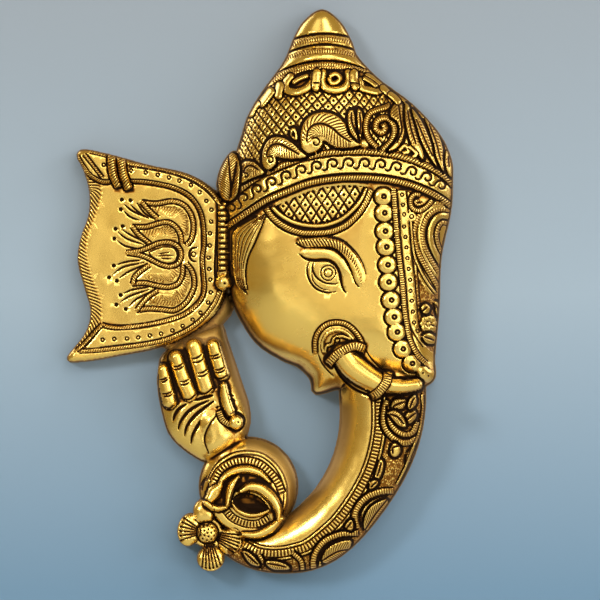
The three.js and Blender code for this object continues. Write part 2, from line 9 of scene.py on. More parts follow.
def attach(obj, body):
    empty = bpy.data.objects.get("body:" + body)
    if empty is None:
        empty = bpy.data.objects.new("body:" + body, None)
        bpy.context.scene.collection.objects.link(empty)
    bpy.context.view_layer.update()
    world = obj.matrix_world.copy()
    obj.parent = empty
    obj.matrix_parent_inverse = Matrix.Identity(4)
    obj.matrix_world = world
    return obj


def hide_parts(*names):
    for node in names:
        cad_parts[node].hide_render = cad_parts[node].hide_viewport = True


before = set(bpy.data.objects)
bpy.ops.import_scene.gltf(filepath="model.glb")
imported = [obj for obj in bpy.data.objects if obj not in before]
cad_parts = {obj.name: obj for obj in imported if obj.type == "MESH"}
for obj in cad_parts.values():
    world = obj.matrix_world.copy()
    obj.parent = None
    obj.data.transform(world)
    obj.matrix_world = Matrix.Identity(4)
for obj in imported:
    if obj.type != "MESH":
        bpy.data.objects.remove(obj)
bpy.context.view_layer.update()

# The view: the mask hangs on a plain wall and is seen square on, from a long way off, as in the photograph.
# The picture is 300 mm wide at the depth of the ear's rim. The mask's drawing has its zero at the middle of
# that picture, and the frame has its own at the hanging bar.
MM = 0.001
HANGER_X, HANGER_Y = -9.5, 93.0
PICTURE_WIDTH = 300.0
CAMERA_AWAY = 6000.0
PICTURE_DEPTH = 14.0
SENSOR = 36.0


def place(x, y, z):
    """A point of the drawing, x right, y up, z out of the wall in millimetres, in the frame's metres."""
    return Vector(((x - HANGER_X) * MM, -z * MM, (y - HANGER_Y) * MM))


camera = bpy.data.objects.new("camera", bpy.data.cameras.new("camera"))
camera.data.sensor_width = SENSOR
camera.data.lens = SENSOR * (CAMERA_AWAY - PICTURE_DEPTH) / PICTURE_WIDTH
camera.location = place(0, 0, CAMERA_AWAY)
camera.rotation_euler = (math.pi / 2, 0, 0)
bpy.context.scene.collection.objects.link(camera)
bpy.context.scene.camera = camera


# Colours are shown as they are, without a film curve, which would grey the brass's yellow.
bpy.context.scene.view_settings.view_transform = "Standard"


# The light is a dome of soft boxes, strongest on the right and above, and a smaller key at the upper left
# that throws the soft shadow. Two more stand behind the wall, which is there for the camera alone, and show
# the hollow back.
def softbox(name, tilt, turn, power, size=0.9):
    """A square lamp that looks at the mask, tilted away from the camera's axis and turned from the right."""
    lamp = bpy.data.lights.new(name, "AREA")
    lamp.shape = "SQUARE"
    lamp.size = size
    lamp.energy = power
    holder = bpy.data.objects.new(name, lamp)
    tilt, turn = math.radians(tilt), math.radians(turn)
    away = Vector((math.sin(tilt) * math.cos(turn), -math.cos(tilt), math.sin(tilt) * math.sin(turn)))
    holder.location = place(0, 0, 0) + 2 * away
    holder.rotation_euler = away.to_track_quat("Z", "Y").to_euler()
    bpy.context.scene.collection.objects.link(holder)


for name, tilt, turn, power in (
        ("front", 0, 0, 1.5), ("right", 32, 0, 5.7), ("upper_right", 32, 45, 4.4), ("upper", 32, 90, 6.8),
        ("upper_left", 32, 135, 0.8), ("lower_left", 32, 225, 2.4), ("far_right", 65, 22, 15.8),
        ("far_upper", 65, 68, 9.4), ("far_top", 65, 112, 2.7), ("far_low", 65, 338, 10.8),
        ("back_left", 130, 145, 8.0), ("back_right", 130, 20, 6.0)):
    softbox(name, tilt, turn, power)
softbox("key", 42, 150, 15.5, size=0.4)

world = bpy.data.worlds.new("studio")
bpy.context.scene.world = world
world.use_nodes = True
world.node_tree.nodes["Background"].inputs["Color"].default_value = (1, 0.73, 0.30, 1)
world.node_tree.nodes["Background"].inputs["Strength"].default_value = 0.36


# The wall and the floor are the studio, not the mask. The wall is seen from its front alone, so that the back
# of the mask can be looked at, and it neither shades nor mirrors in the brass.
def plane(name, corners):
    """A flat panel through four points of the drawing."""
    mesh = bpy.data.meshes.new(name)
    mesh.from_pydata([place(*corner) for corner in corners], [], [(0, 1, 2, 3)])
    panel = bpy.data.objects.new(name, mesh)
    bpy.context.scene.collection.objects.link(panel)
    return panel


WALL_GAP = 1.0
STUDIO = 3000.0
FLOOR_BELOW = -700.0
wall = plane("wall", [(-STUDIO, -STUDIO, -WALL_GAP), (STUDIO, -STUDIO, -WALL_GAP),
                      (STUDIO, STUDIO, -WALL_GAP), (-STUDIO, STUDIO, -WALL_GAP)])
floor = plane("floor", [(-STUDIO, FLOOR_BELOW, STUDIO), (STUDIO, FLOOR_BELOW, STUDIO),
                        (STUDIO, FLOOR_BELOW, -STUDIO), (-STUDIO, FLOOR_BELOW, -STUDIO)])
wall.visible_shadow = wall.visible_glossy = wall.visible_diffuse = False


class Maker:
    """The nodes of one material, made by name."""

    def __init__(self, name):
        self.material = bpy.data.materials.new(name)
        self.material.use_nodes = True
        self.tree = self.material.node_tree
        self.tree.nodes.clear()

    def node(self, kind, settings=None, **sockets):
        """A node with its settings put first, then its sockets, each by its name or its number after 'at'."""
        made = self.tree.nodes.new(kind)
        for name, value in (settings or {}).items():
            if name == "stops":
                ramp = made.color_ramp
                while len(ramp.elements) < len(value):
                    ramp.elements.new(0.5)
                for element, (position, colour) in zip(ramp.elements, value):
                    element.position, element.color = position, (*colour, 1)
            else:
                setattr(made, name, value)
        for name, value in sockets.items():
            self.put(made, int(name[2:]) if name.startswith("at") else name.replace("_", " "), value)
        return made

    def put(self, made, socket, value):
        target = made.inputs[socket]
        if isinstance(value, Wire):
            self.tree.links.new(value.socket, target)
        elif isinstance(value, tuple) and len(value) == 3 and target.type == "RGBA":
            target.default_value = (*value, 1)
        else:
            target.default_value = value

    def wire(self, kind, output=0, settings=None, **sockets):
        return Wire(self, self.node(kind, settings, **sockets).outputs[output])


class Wire:
    """A socket's value, so that shader maths reads as arithmetic."""

    def __init__(self, maker, socket):
        self.maker, self.socket = maker, socket

    def math(self, operation, first, second):
        return self.maker.wire("ShaderNodeMath", 0, {"operation": operation}, at0=first, at1=second)

    def __add__(self, other):
        return self.math("ADD", self, other)

    def __sub__(self, other):
        return self.math("SUBTRACT", self, other)

    def __rsub__(self, other):
        return self.math("SUBTRACT", other, self)

    def __mul__(self, other):
        return self.math("MULTIPLY", self, other)

    __radd__, __rmul__ = __add__, __mul__


paint = Maker("pale_wall")
height = paint.wire("ShaderNodeSeparateXYZ", "Z", Vector=paint.wire("ShaderNodeTexCoord", "Object"))
height = paint.wire("ShaderNodeMapRange", 0, at0=height, at1=-0.24, at2=0.06)
# Painted shade: the wall is darkest at the bottom, brightest in the middle and a little darker at the top, as
# the light falls off.
WALL_PAINTED_FALLOFF = [(0, (0.137, 0.236, 0.344)), (0.5, (0.272, 0.352, 0.432)), (1, (0.246, 0.29, 0.338))]
shade = paint.wire("ShaderNodeValToRGB", 0, {"stops": WALL_PAINTED_FALLOFF}, at0=height)
plaster = paint.wire("ShaderNodeBsdfDiffuse", Color=shade)
unseen = paint.wire("ShaderNodeBsdfTransparent")
from_behind = paint.wire("ShaderNodeNewGeometry", "Backfacing")
paint.node("ShaderNodeOutputMaterial",
           Surface=paint.wire("ShaderNodeMixShader", Fac=from_behind, at1=plaster, at2=unseen))
wall.data.materials.append(paint.material)

boards = Maker("pale_floor")
boards.node("ShaderNodeOutputMaterial", Surface=boards.wire("ShaderNodeBsdfDiffuse", Color=(0.55, 0.58, 0.60)))
floor.data.materials.append(boards.material)


# The casting's blank: a thin shell of brass, poured in one. Face and crown are a single dome, and the ear,
# the raised hand, the forearm behind the curl and the trunk stand beside it, each with its own height and
# leaning sides.
STEP = 0.45
LEFT, BOTTOM, RIGHT, TOP = -122.0, -141.0, 81.0, 149.0
DRAFT = 0.7
x, y = np.meshgrid(np.arange(LEFT, RIGHT, STEP), np.arange(BOTTOM, TOP, STEP))
ROWS, COLUMNS = x.shape


def spline(points, spacing=0.5, closed=False):
    """Evenly spaced points of a Catmull-Rom curve: between two points it is the cubic whose slope at each of
    them is half the step from the point before it to the point after it."""
    given = np.array(points, float)
    if closed:
        line = np.vstack([given[-1], given, given[:2]])
    else:
        line = np.vstack([2 * given[0] - given[1], given, 2 * given[-1] - given[-2]])
    t = np.linspace(0, 1, 24, endpoint=False)[:, None, None]
    a, b, c, d = line[:-3], line[1:-2], line[2:-1], line[3:]
    curve = 0.5 * (2 * b + (c - a) * t + (2 * a - 5 * b + 4 * c - d) * t**2 + (3 * b - 3 * c + d - a) * t**3)
    curve = np.vstack([curve.transpose(1, 0, 2).reshape(-1, 2), line[-2]])
    run = np.concatenate([[0], np.cumsum(np.linalg.norm(np.diff(curve, axis=0), axis=1))])
    count = max(int(round(run[-1] / spacing)), 2)
    even = np.linspace(0, run[-1], count + 1)
    even = even[:-1] if closed else even
    return np.stack([np.interp(even, run, curve[:, 0]), np.interp(even, run, curve[:, 1])], axis=1)


def edge_distance(outline):
    """Distance to an outline, smoothed so that no crease forms along its middle, and negative outside it.
    Each straight side adds its own part of the integral of one over the distance cubed, and an endless
    straight side at distance a adds up to 2 / a^2, so the distance is the root of 2 over the sum. A ray to
    the right that crosses the outline an odd number of times starts inside."""
    total = np.zeros_like(x)
    odd = np.zeros(x.shape, bool)
    for (px, py), (qx, qy) in zip(outline, np.roll(outline, -1, axis=0)):
        length = math.hypot(qx - px, qy - py)
        ux, uy = (qx - px) / length, (qy - py) / length
        near_end = (px - x) * ux + (py - y) * uy
        far_end = near_end + length
        away = np.maximum(((x - px) * uy - (y - py) * ux) ** 2, 1e-6)
        total += (far_end / np.sqrt(away + far_end**2) - near_end / np.sqrt(away + near_end**2)) / away
        if py != qy:
            odd ^= ((py > y) != (qy > y)) & (x < (qx - px) * (y - py) / (qy - py) + px)
    distance = np.sqrt(2 / np.maximum(total, 1e-9))
    return np.where(odd, distance, -distance)


def swell(share):
    """A quarter circle from 0 at an edge to 1 at the reach, and level beyond it."""
    return np.sqrt(1 - (1 - np.clip(share, 0, 1)) ** 2)


def arch(share, power=2):
    """Half an ellipse: 1 at 0, falling to 0 at 1 on both sides, and flatter on top with a higher power."""
    return np.sqrt(np.clip(1 - np.abs(share) ** power, 0, 1))


def smooth(start, end, value):
    """0 up to the start, 1 from the end on, and the cubic 3t^2 - 2t^3 between them."""
    t = np.clip((value - start) / (end - start), 0, 1)
    return t * t * (3 - 2 * t)


forms = []


def stand(depth, level, edge):
    """Adds a form: a side that leans out by the draft on its way down to the wall, and its own level inside
    it."""
    side = edge * np.clip(depth / DRAFT, 0, 1)
    forms.append((depth, np.where(depth > DRAFT, level, side)))


HEAD_OUTLINE = [
    (11, 145.8), (20.2, 139.6), (26.2, 129.4), (29, 122.2), (39.8, 110.8), (56.5, 98.2), (70, 83.4),
    (76.2, 70),
    (76.7, 58), (75.8, 44), (71, 21), (70, -4), (67.8, -28), (66.8, -41), (50, -47), (34, -45), (20, -45),
    (10.5, -47.5), (6, -46.5), (4.8, -40), (-1, -34), (-9.4, -30.4), (-21.6, -22.4), (-30.2, -10), (-35, 2),
    (-37.5, 20), (-38, 38), (-36, 60), (-29, 84), (-26, 93), (-18.8, 105), (-10.2, 116.6), (-6.6, 123),
    (-3, 132), (2, 140),
]
HEAD_EDGE, HEAD_RISE, TIP_RISE, HEAD_REACH = 8, 34, 17, 32
head_depth = edge_distance(spline(HEAD_OUTLINE, 3, closed=True))
head_rise = HEAD_RISE - (HEAD_RISE - TIP_RISE) * smooth(80, 140, y)
head_level = HEAD_EDGE + head_rise * swell((head_depth - DRAFT) / HEAD_REACH)
stand(head_depth, head_level, HEAD_EDGE)

EAR_OUTLINE = [
    (-111.6, 70.5), (-111.6, 74.6), (-107.5, 75.6), (-100, 74.2), (-90, 71.7), (-75, 67.6), (-57.5, 63.8),
    (-46, 57.8), (-38.5, 49), (-36.5, 30), (-36, 8), (-41, -6), (-55, -17.5), (-70, -24), (-90, -28),
    (-108, -31),
    (-117.3, -29.8), (-108, -17), (-105, -6), (-108, 6), (-111.4, 19), (-110, 31), (-106, 43), (-105.8, 55),
    (-109, 66),
]
EAR_EDGE, EAR_LEAN = 9, 5
RIM_RISE = 1.7
RIM_INSIDE = [(-128, 73), (-111.6, 72.1), (-104.9, 62.3), (-99.1, 59.1), (-86.1, 59.3), (-70.6, 57.9),
    (-56.2, 52.5), (-49.4, 42.7), (-48, 27.6), (-48.5, 13.3), (-49, 1.3), (-58.6, -8.1), (-75.4, -13.1),
    (-87.3, -14.1), (-99.1, -13.1), (-107.2, -21), (-112, -25.4), (-128, -26.6)]
ear_depth = edge_distance(spline(EAR_OUTLINE, 3, closed=True))
ear_level = EAR_EDGE + EAR_LEAN * smooth(-112, -36, x)
from_rim = edge_distance(spline(RIM_INSIDE, 3, closed=True))
ear_rim = RIM_RISE * (1 - smooth(-0.8, 0.6, from_rim)) * smooth(DRAFT, DRAFT + 1.5, ear_depth)
stand(ear_depth, ear_level + ear_rim, EAR_EDGE + 0.8)


def mound(outline, edge, rise, reach):
    """A form that swells from its edge to level off at its reach."""
    depth = edge_distance(outline)
    stand(depth, edge + rise * swell((depth - DRAFT) / reach), edge)
    return depth


def ring(middle, radius, count=48):
    """Points round a circle."""
    turn = np.linspace(0, 2 * np.pi, count, endpoint=False)
    return np.stack([middle[0] + radius * np.cos(turn), middle[1] + radius * np.sin(turn)], axis=1)


HAND_OUTLINE = [
    (-69, -27), (-59, -19), (-47, -13), (-39, -12), (-36, -20), (-33, -29), (-29, -41), (-25.3, -52.5),
    (-25, -63), (-30, -74), (-44, -81.5), (-53.5, -78.6), (-65, -68.6), (-69.4, -56), (-71.6, -43),
    (-71, -33),
]
WEB_OUTLINE = [
    (-44, 4), (-36, 4), (-33.5, -5.5), (-39, -13.5), (-36, -19), (-42.5, -22.5), (-52.5, -22), (-64, -25),
    (-69, -22.5), (-61, -16), (-51, -9),
]
TEMPLE_OUTLINE = [
    (-33.5, 75), (-37.5, 71), (-40.5, 65), (-42, 58), (-40.5, 51), (-37, 46), (-31, 52), (-28, 65),
    (-29.5, 73),
]
FOREARM_MIDDLE, FOREARM_RADIUS = (-25.8, -93.4), 25
hand_depth = mound(spline(HAND_OUTLINE, 3, closed=True), edge=6, rise=12, reach=11)
forearm_depth = mound(ring(FOREARM_MIDDLE, FOREARM_RADIUS), edge=6, rise=13, reach=12)
web_depth = mound(spline(WEB_OUTLINE, 3, closed=True), edge=6, rise=5, reach=5)
mound(spline(TEMPLE_OUTLINE, 2, closed=True), edge=11, rise=10, reach=6)

TRUNK_MIDDLE, TRUNK_FROM, TRUNK_TO, TRUNK_EDGE = (-22.5, -47.5), -24, 108, 7


def trunk_edges(degrees):
    """Radii of the trunk's inner and outer sides: the inner widens with the power 1.5 of the angle, and the
    outer has a bell-shaped swelling at 69 degrees and draws in after 85."""
    past = np.maximum(degrees, 0)
    inner = 42 + 35.2 * (past / 108) ** 1.5
    outer = 85.8 + 6.9 * np.exp(-(((degrees - 69) / 21) ** 2)) - 0.02 * np.maximum(degrees - 85, 0) ** 2
    return inner, outer


def round_trunk(px, py):
    """Degrees turned down from the right, and distance, round the middle that the trunk bends about."""
    right, down = px - TRUNK_MIDDLE[0], TRUNK_MIDDLE[1] - py
    return np.degrees(np.arctan2(down, right)), np.hypot(right, down)


trunk_angle, trunk_reach = round_trunk(x, y)
inner_edge, outer_edge = trunk_edges(trunk_angle)
trunk_half = (outer_edge - inner_edge) / 2
trunk_share = (trunk_reach - (inner_edge + outer_edge) / 2) / np.maximum(trunk_half - DRAFT, 0.5)
trunk_ends = np.minimum(trunk_angle - TRUNK_FROM, TRUNK_TO - trunk_angle) * math.pi / 180 * trunk_reach
trunk_depth = np.minimum(np.minimum(trunk_reach - inner_edge, outer_edge - trunk_reach), trunk_ends)
trunk_ridge = 33 - 18 * (np.clip(trunk_angle, 0, 110) / 105) ** 1.3
trunk_level = TRUNK_EDGE + (trunk_ridge - TRUNK_EDGE) * arch(trunk_share, 2.4)
stand(trunk_depth, trunk_level, TRUNK_EDGE)


def toward(middle, reach, degrees):
    """The point at a distance from another, in a direction turned from the right."""
    angle = math.radians(degrees)
    return middle[0] + reach * math.cos(angle), middle[1] + reach * math.sin(angle)


def turned(dx, dy, degrees):
    """A step's parts along such a direction and to the left of it."""
    ux, uy = toward((0, 0), 1, degrees)
    return dx * ux + dy * uy, dy * ux - dx * uy


FLOWER_MIDDLE, FLOWER_TOP = (-46.3, -116.4), 16.0
PETALS = [  # turn, reach, half length and half width of each
    (172, 9.4, 5.8, 8.4), (277, 13.1, 6.5, 7.0), (-20, 12.2, 6.0, 7.0), (100, 10.5, 6.4, 5.4),
]
stand(8 - np.hypot(x - FLOWER_MIDDLE[0], y - FLOWER_MIDDLE[1]), FLOWER_TOP - 2, FLOWER_TOP - 3)
for turn, reach, length, width in PETALS:
    px, py = toward(FLOWER_MIDDLE, reach, turn)
    out, across = turned(x - px, y - py, turn)
    petal_depth = width * (1 - np.hypot(out / length, across / width))
    stand(petal_depth, FLOWER_TOP - 1.5 * (across / width) ** 2, FLOWER_TOP - 2)

cover = np.max([depth for depth, _ in forms], axis=0)
base = np.max([np.where(depth > 0, level, 0) for depth, level in forms], axis=0)


# The carving: the blank was finished by hand with chisels and punches. The first cuts are the ear's: its rim
# is a flat strip of ring marks between two twisted cords, and the open side is a lip with slanting nicks.
relief = np.zeros_like(base)
skin, ground, flat_x, flat_y = relief.reshape(-1), base.reshape(-1), x.reshape(-1), y.reshape(-1)
cuts, cut_depth = np.zeros(base.size), np.zeros(base.size)
line = np.full(base.size, 3.0)
stain_and_shade, matte, punched = np.zeros((3, base.size))


def around(points, reach):
    """The grid's places within reach of any of the points, the point nearest to each, and how far each lies
    to the right of that point and above it."""
    points = np.array(points, float)
    side = math.ceil(reach / STEP) + 1
    steps = np.arange(-side, side + 1)
    row = np.rint((points[:, 1] - BOTTOM) / STEP).astype(int)[:, None, None] + steps[:, None]
    column = np.rint((points[:, 0] - LEFT) / STEP).astype(int)[:, None, None] + steps
    row, column = np.broadcast_arrays(row, column)
    which = np.broadcast_to(np.arange(len(points))[:, None, None], row.shape)
    dx = LEFT + STEP * column - points[which, 0]
    dy = BOTTOM + STEP * row - points[which, 1]
    far = np.hypot(dx, dy)
    kept = (far < reach) & (row >= 0) & (row < ROWS) & (column >= 0) & (column < COLUMNS)
    order = np.argsort(far[kept], kind="stable")
    at, first = np.unique((row * COLUMNS + column)[kept][order], return_index=True)
    pick = order[first]
    return at, which[kept][pick], dx[kept][pick], dy[kept][pick]


def spots(points, reach):
    """The grid's places within reach of any of the points, and how far each lies from the nearest."""
    at, _, dx, dy = around(points, reach)
    return at, np.hypot(dx, dy)


def headings(path):
    """The way along a path at each of its points, as a step of length 1."""
    way = np.gradient(path, axis=0)
    return way / np.linalg.norm(way, axis=1)[:, None]


def near(path, reach):
    """The grid's places within reach of a path, how far each lies across it, positive to the right of the way
    along, and how far along it. Both ends are cut square."""
    at, which, dx, dy = around(path, reach)
    way = headings(path)
    steps = np.linalg.norm(np.diff(path, axis=0), axis=1)
    run = np.concatenate([[0], np.cumsum(steps)])[which] + dx * way[which, 0] + dy * way[which, 1]
    across = dx * way[which, 1] - dy * way[which, 0]
    inside = (run > -0.2) & (run < steps.sum() + 0.2)
    return at[inside], across[inside], run[inside]


def within(outline):
    """The grid's places inside an outline, and how far each lies from it."""
    left, bottom = np.floor((outline.min(axis=0) - (LEFT, BOTTOM)) / STEP).astype(int)
    right, top = np.ceil((outline.max(axis=0) - (LEFT, BOTTOM)) / STEP).astype(int)
    rows, columns = np.mgrid[bottom:top + 1, left:right + 1]
    px, py = LEFT + STEP * columns, BOTTOM + STEP * rows
    odd, nearest = np.zeros(px.shape, bool), np.full(px.shape, np.inf)
    for (ax, ay), (bx, by) in zip(outline, np.roll(outline, -1, axis=0)):
        squared = max((bx - ax) ** 2 + (by - ay) ** 2, 1e-9)
        share = np.clip(((px - ax) * (bx - ax) + (py - ay) * (by - ay)) / squared, 0, 1)
        nearest = np.minimum(nearest, np.hypot(px - ax - share * (bx - ax), py - ay - share * (by - ay)))
        if ay != by:
            odd ^= ((ay > py) != (by > py)) & (px < (bx - ax) * (py - ay) / (by - ay) + ax)
    return (rows * COLUMNS + columns)[odd], nearest[odd]


def region(points):
    """The grid's places inside a closed curve through the points, and how far each lies from it."""
    return within(spline(points, 1, closed=True))


def band(across, half, soft):
    """1 along the middle of a band, running out to 0 at its sides over a soft width."""
    return np.clip((half - np.abs(across)) / soft, 0, 1)


def nick(turns):
    """A row of V-shaped cuts, one in each whole turn: 1 at its middle and 0 over the rest."""
    return np.clip(1 - np.abs(turns % 1 - 0.5) / 0.3, 0, 1)


def cut_fine(at, turns, strength):
    """Notes cuts too fine for the net of triangles: the brass's own bumps show them."""
    stronger = strength >= cut_depth[at]
    cuts[at[stronger]] = turns[stronger]
    cut_depth[at[stronger]] = strength[stronger]


def ink(at, beside, half):
    """Notes how far each place lies beside a cut, in half widths: the brass darkens and dips where that is
    under one."""
    line[at] = np.minimum(line[at], np.abs(beside) / half)


def wipe(at):
    """Takes back the fine cuts where something new stands on them, which is polished."""
    line[at] = 3
    cut_depth[at] = matte[at] = punched[at] = 0


def lift(at, height):
    """Raises the surface to a height over the blank where it isn't higher already."""
    wipe(at[height > skin[at]])
    skin[at] = np.maximum(skin[at], height)


def lift_to(at, level):
    """Raises the surface to a height over the wall where it isn't higher already."""
    lift(at, level - ground[at])


def strip(at, across, half, height, ditch, ditch_half=0.42):
    """Lays a strip with a round top, a half ellipse, and a ditch along both its sides."""
    inside = np.abs(across) < half
    lift(at[inside], height * arch(across[inside] / half))
    skin[at[~inside]] -= ditch * band(np.abs(across[~inside]) - half - 0.3, 0.5, 0.5)
    if ditch:
        ink(at, np.abs(across) - half - 0.25, ditch_half)


def cord(points, half, height, pitch=1.25, slant=0.55, ditch=0.4, ditch_half=0.45):
    """A twisted cord with a ditch on both sides."""
    at, across, run = near(spline(points), half + 1)
    strip(at, across, half, height, ditch, ditch_half)
    cut_fine(at, (run + slant * across) / pitch, np.minimum(band(across, half, 0.3), 0.8))


def ladder(points, half, height, pitch, slant=0.0, depth=0.5, ditch=0.5):
    """A flat band with cuts straight across it."""
    at, across, run = near(spline(points), half + 1)
    inside = band(across, half, 0.4)
    strip(at, across, half, height, ditch)
    skin[at] = np.where(np.abs(across) < half, np.maximum(skin[at], height * inside**0.5), skin[at])
    skin[at] -= depth * inside * nick(run / pitch + slant * across)
    cut_fine(at, run / pitch + slant * across, inside)


def ridge(points, half, height, ditch=0.0):
    """A plain round line."""
    at, across, _ = near(spline(points), half + 0.9)
    strip(at, across, half, height, ditch)


def groove(points, half=0.5, depth=0.6, taper=0.7):
    """A chisel cut that thins to both ends by the root of a half wave."""
    path = spline(points, 0.35)
    at, across, run = near(path, half + 0.9)
    along = np.clip(run / (0.35 * (len(path) - 1)), 0, 1)
    width = half * (1 - taper + taper * np.sqrt(np.sin(np.pi * along)))
    skin[at] -= depth * np.clip(1 - (across / width) ** 2, 0, 1)
    ink(at, across, width * 0.95)


def ring_marks(points, radius, depth=0.5, half=0.36):
    """A ring punched into the surface, which leaves a small dome in it."""
    at, away = spots(points, radius + 1)
    skin[at] -= depth * band(away - radius, 0.5, 0.5)
    ink(at, away - radius, half)


def holes(points, radius, depth=0.8):
    """Drilled dots."""
    at, away = spots(points, radius + 1)
    skin[at] -= depth * np.clip(1 - (away / (radius + 0.2)) ** 4, 0, 1)
    ink(at, np.maximum(away - 0.3 * radius, 0), 0.7 * radius)


def coil(points, half, height, ditch=0.6):
    """A round strip with round ends and a ditch round it."""
    at, away = spots(spline(points), half + 1)
    strip(at, away, half, height, ditch, ditch_half=0.45)


def knobs(points, radius, height, power=2, level=None):
    """Round studs, flatter on top with a higher power. They stand on the blank, or at a level over the
    wall."""
    at, away = spots(points, radius)
    top = height * arch(away / radius, power)
    lift(at, top if level is None else level + top - ground[at])


EAR_OUTER_CORD = [[(-85.7, 68.3), (-75.4, 66.9), (-64.2, 64.6), (-53.8, 60.8), (-45.9, 55.7), (-40, 49.3)],
    [(-110.4, -25.7), (-100.1, -25), (-88.1, -23.6), (-78.5, -22.3), (-69, -20.4), (-61, -17.4),
    (-53.8, -13.5), (-47.5, -7.9), (-42.7, -1.5), (-39.9, 4.9)]]
EAR_INNER_CORD = [(-86.1, 59.3), (-78.5, 59.1), (-70.6, 57.9), (-62.6, 55.9), (-56.2, 52.5), (-52.2, 48.5),
    (-49.4, 42.7), (-48.3, 35.6), (-48, 27.6), (-48.8, 21.2), (-48.5, 13.3), (-47.9, 6.9), (-49, 1.3),
    (-53, -3.5), (-58.6, -7.5), (-65.8, -10), (-75.4, -12.3), (-84.9, -13.5), (-93.7, -13.7), (-99.1, -12.4)]
EAR_RINGS = [(-98.2, 67.6), (-84.5, 64.7), (-77.2, 63.7), (-71.1, 62.5), (-65.5, 61.2), (-60.3, 59.6),
    (-54.5, 57.4), (-50.2, 53.8), (-46.8, 49.5), (-44.3, 45.1), (-44.4, 39.2), (-45, 33.3), (-45.1, 27.2),
    (-45.7, 21.2), (-45.4, 15.4), (-44.8, 10.1), (-44.6, 3.8), (-45.9, -1.3), (-49.7, -6.4), (-53.7, -9.9),
    (-58.7, -13), (-63.8, -15.3), (-69.5, -16.9), (-75.1, -17.8), (-80.9, -18.8), (-86.6, -19.3),
    (-92.9, -19.5), (-98.8, -19.9)]
for points in EAR_OUTER_CORD:
    cord(points, half=0.8, height=0.4, pitch=1.25, ditch=0.3, ditch_half=0.36)
cord(EAR_INNER_CORD, half=0.9, height=0.4, pitch=1.25, ditch=0.5, ditch_half=0.4)
groove([(-86.5, 60.3), (-78.5, 60.1), (-70.6, 59), (-62.6, 57.1), (-55.4, 53.6), (-51.3, 49.1), (-48.4, 43.1),
    (-47.1, 35.6), (-47, 27.6), (-47.8, 21.2), (-47.4, 13.3), (-46.8, 6.9), (-48.1, 0.8), (-52.2, -4.3),
    (-58.2, -8.4), (-65.4, -11.1), (-75.4, -13.2), (-84.9, -14.5), (-93.7, -14.7), (-99.7, -13.5)],
    half=0.45, depth=0.5, taper=0.2)
groove([(-40.3, 47.9), (-41.5, 37.2), (-42.2, 25.2), (-42.7, 13.3), (-41.5, 6.5)],
    half=0.5, depth=0.6, taper=0.2)
groove([(-85.7, 66.5), (-75.4, 65.2), (-64.2, 62.8), (-54.6, 59.3), (-47.1, 54.3), (-41.5, 48.3)],
    half=0.4, depth=0.5, taper=0.2)
groove([(-100.1, -23.6), (-88.1, -22.2), (-78.5, -21), (-69, -19), (-61, -16), (-53.8, -11.9), (-47.9, -6.7),
    (-43.5, -0.7)], half=0.4, depth=0.5, taper=0.2)
ring_marks(EAR_RINGS, radius=0.85, depth=0.5, half=0.4)

LIP_LINE = [(-105.3, 61.1), (-101.3, 55.5), (-102.3, 49.1), (-104.5, 42), (-107.6, 34), (-108.8, 26),
    (-108, 18), (-105.7, 10.1), (-102.9, 2.9), (-101.3, -2.7), (-101.4, -8.3), (-103.7, -13.9), (-108, -19.4),
    (-112, -24.2)]
LIP_NICK_PITCH, LIP_WIDTH_CUT = 1.9, 2.6
at, across, run = near(spline(LIP_LINE), 6)
strength = np.clip((across + LIP_WIDTH_CUT) / 1.6, 0, 1)
skin[at] -= 0.5 * strength * nick(run / LIP_NICK_PITCH + 0.42 * across)
cut_fine(at, run / LIP_NICK_PITCH + 0.42 * across, strength)
cord([(-111.6, 72.1), (-108.8, 67.3), (-104.9, 62.3), (-99.1, 59.1), (-93.7, 59.3)],
    half=0.9, height=0.6, pitch=1.1)
cord([(-108, 73), (-103.3, 67.1), (-98.6, 61.1)], half=0.7, height=0.7, pitch=1.25)
cord([(-105.3, 74.4), (-100.9, 73.4), (-95.7, 72)], half=0.7, height=0.5, pitch=1.25)
cord([(-112, -25.4), (-107.2, -21), (-102.9, -16.2), (-99.1, -12.4)], half=0.8, height=0.6, pitch=1.1)
groove([(-106, 72.2), (-102.1, 66.7), (-98.5, 61.9)], half=0.45, depth=0.6, taper=0.3)
groove([(-100.1, -15), (-104.1, -19.8), (-108, -24.4)], half=0.45, depth=0.6, taper=0.3)

# Two bands are bound over the rim near its upper corner. They stand well clear of it and are nicked across.
for points in ([(-94.3, 73.8), (-94, 67.5), (-93.1, 61.9), (-90.7, 56.9)], [(-89.9, 73.7), (-89.2, 67.1),
    (-88, 61.1), (-85.7, 55.7)]):
    at, across, run = near(spline(points), 3.0)
    strip(at, across, 2.1, 4.2, ditch=1.5)
    cut_fine(at, run / 1.3 - 0.3 * across, band(across, 1.9, 0.4))

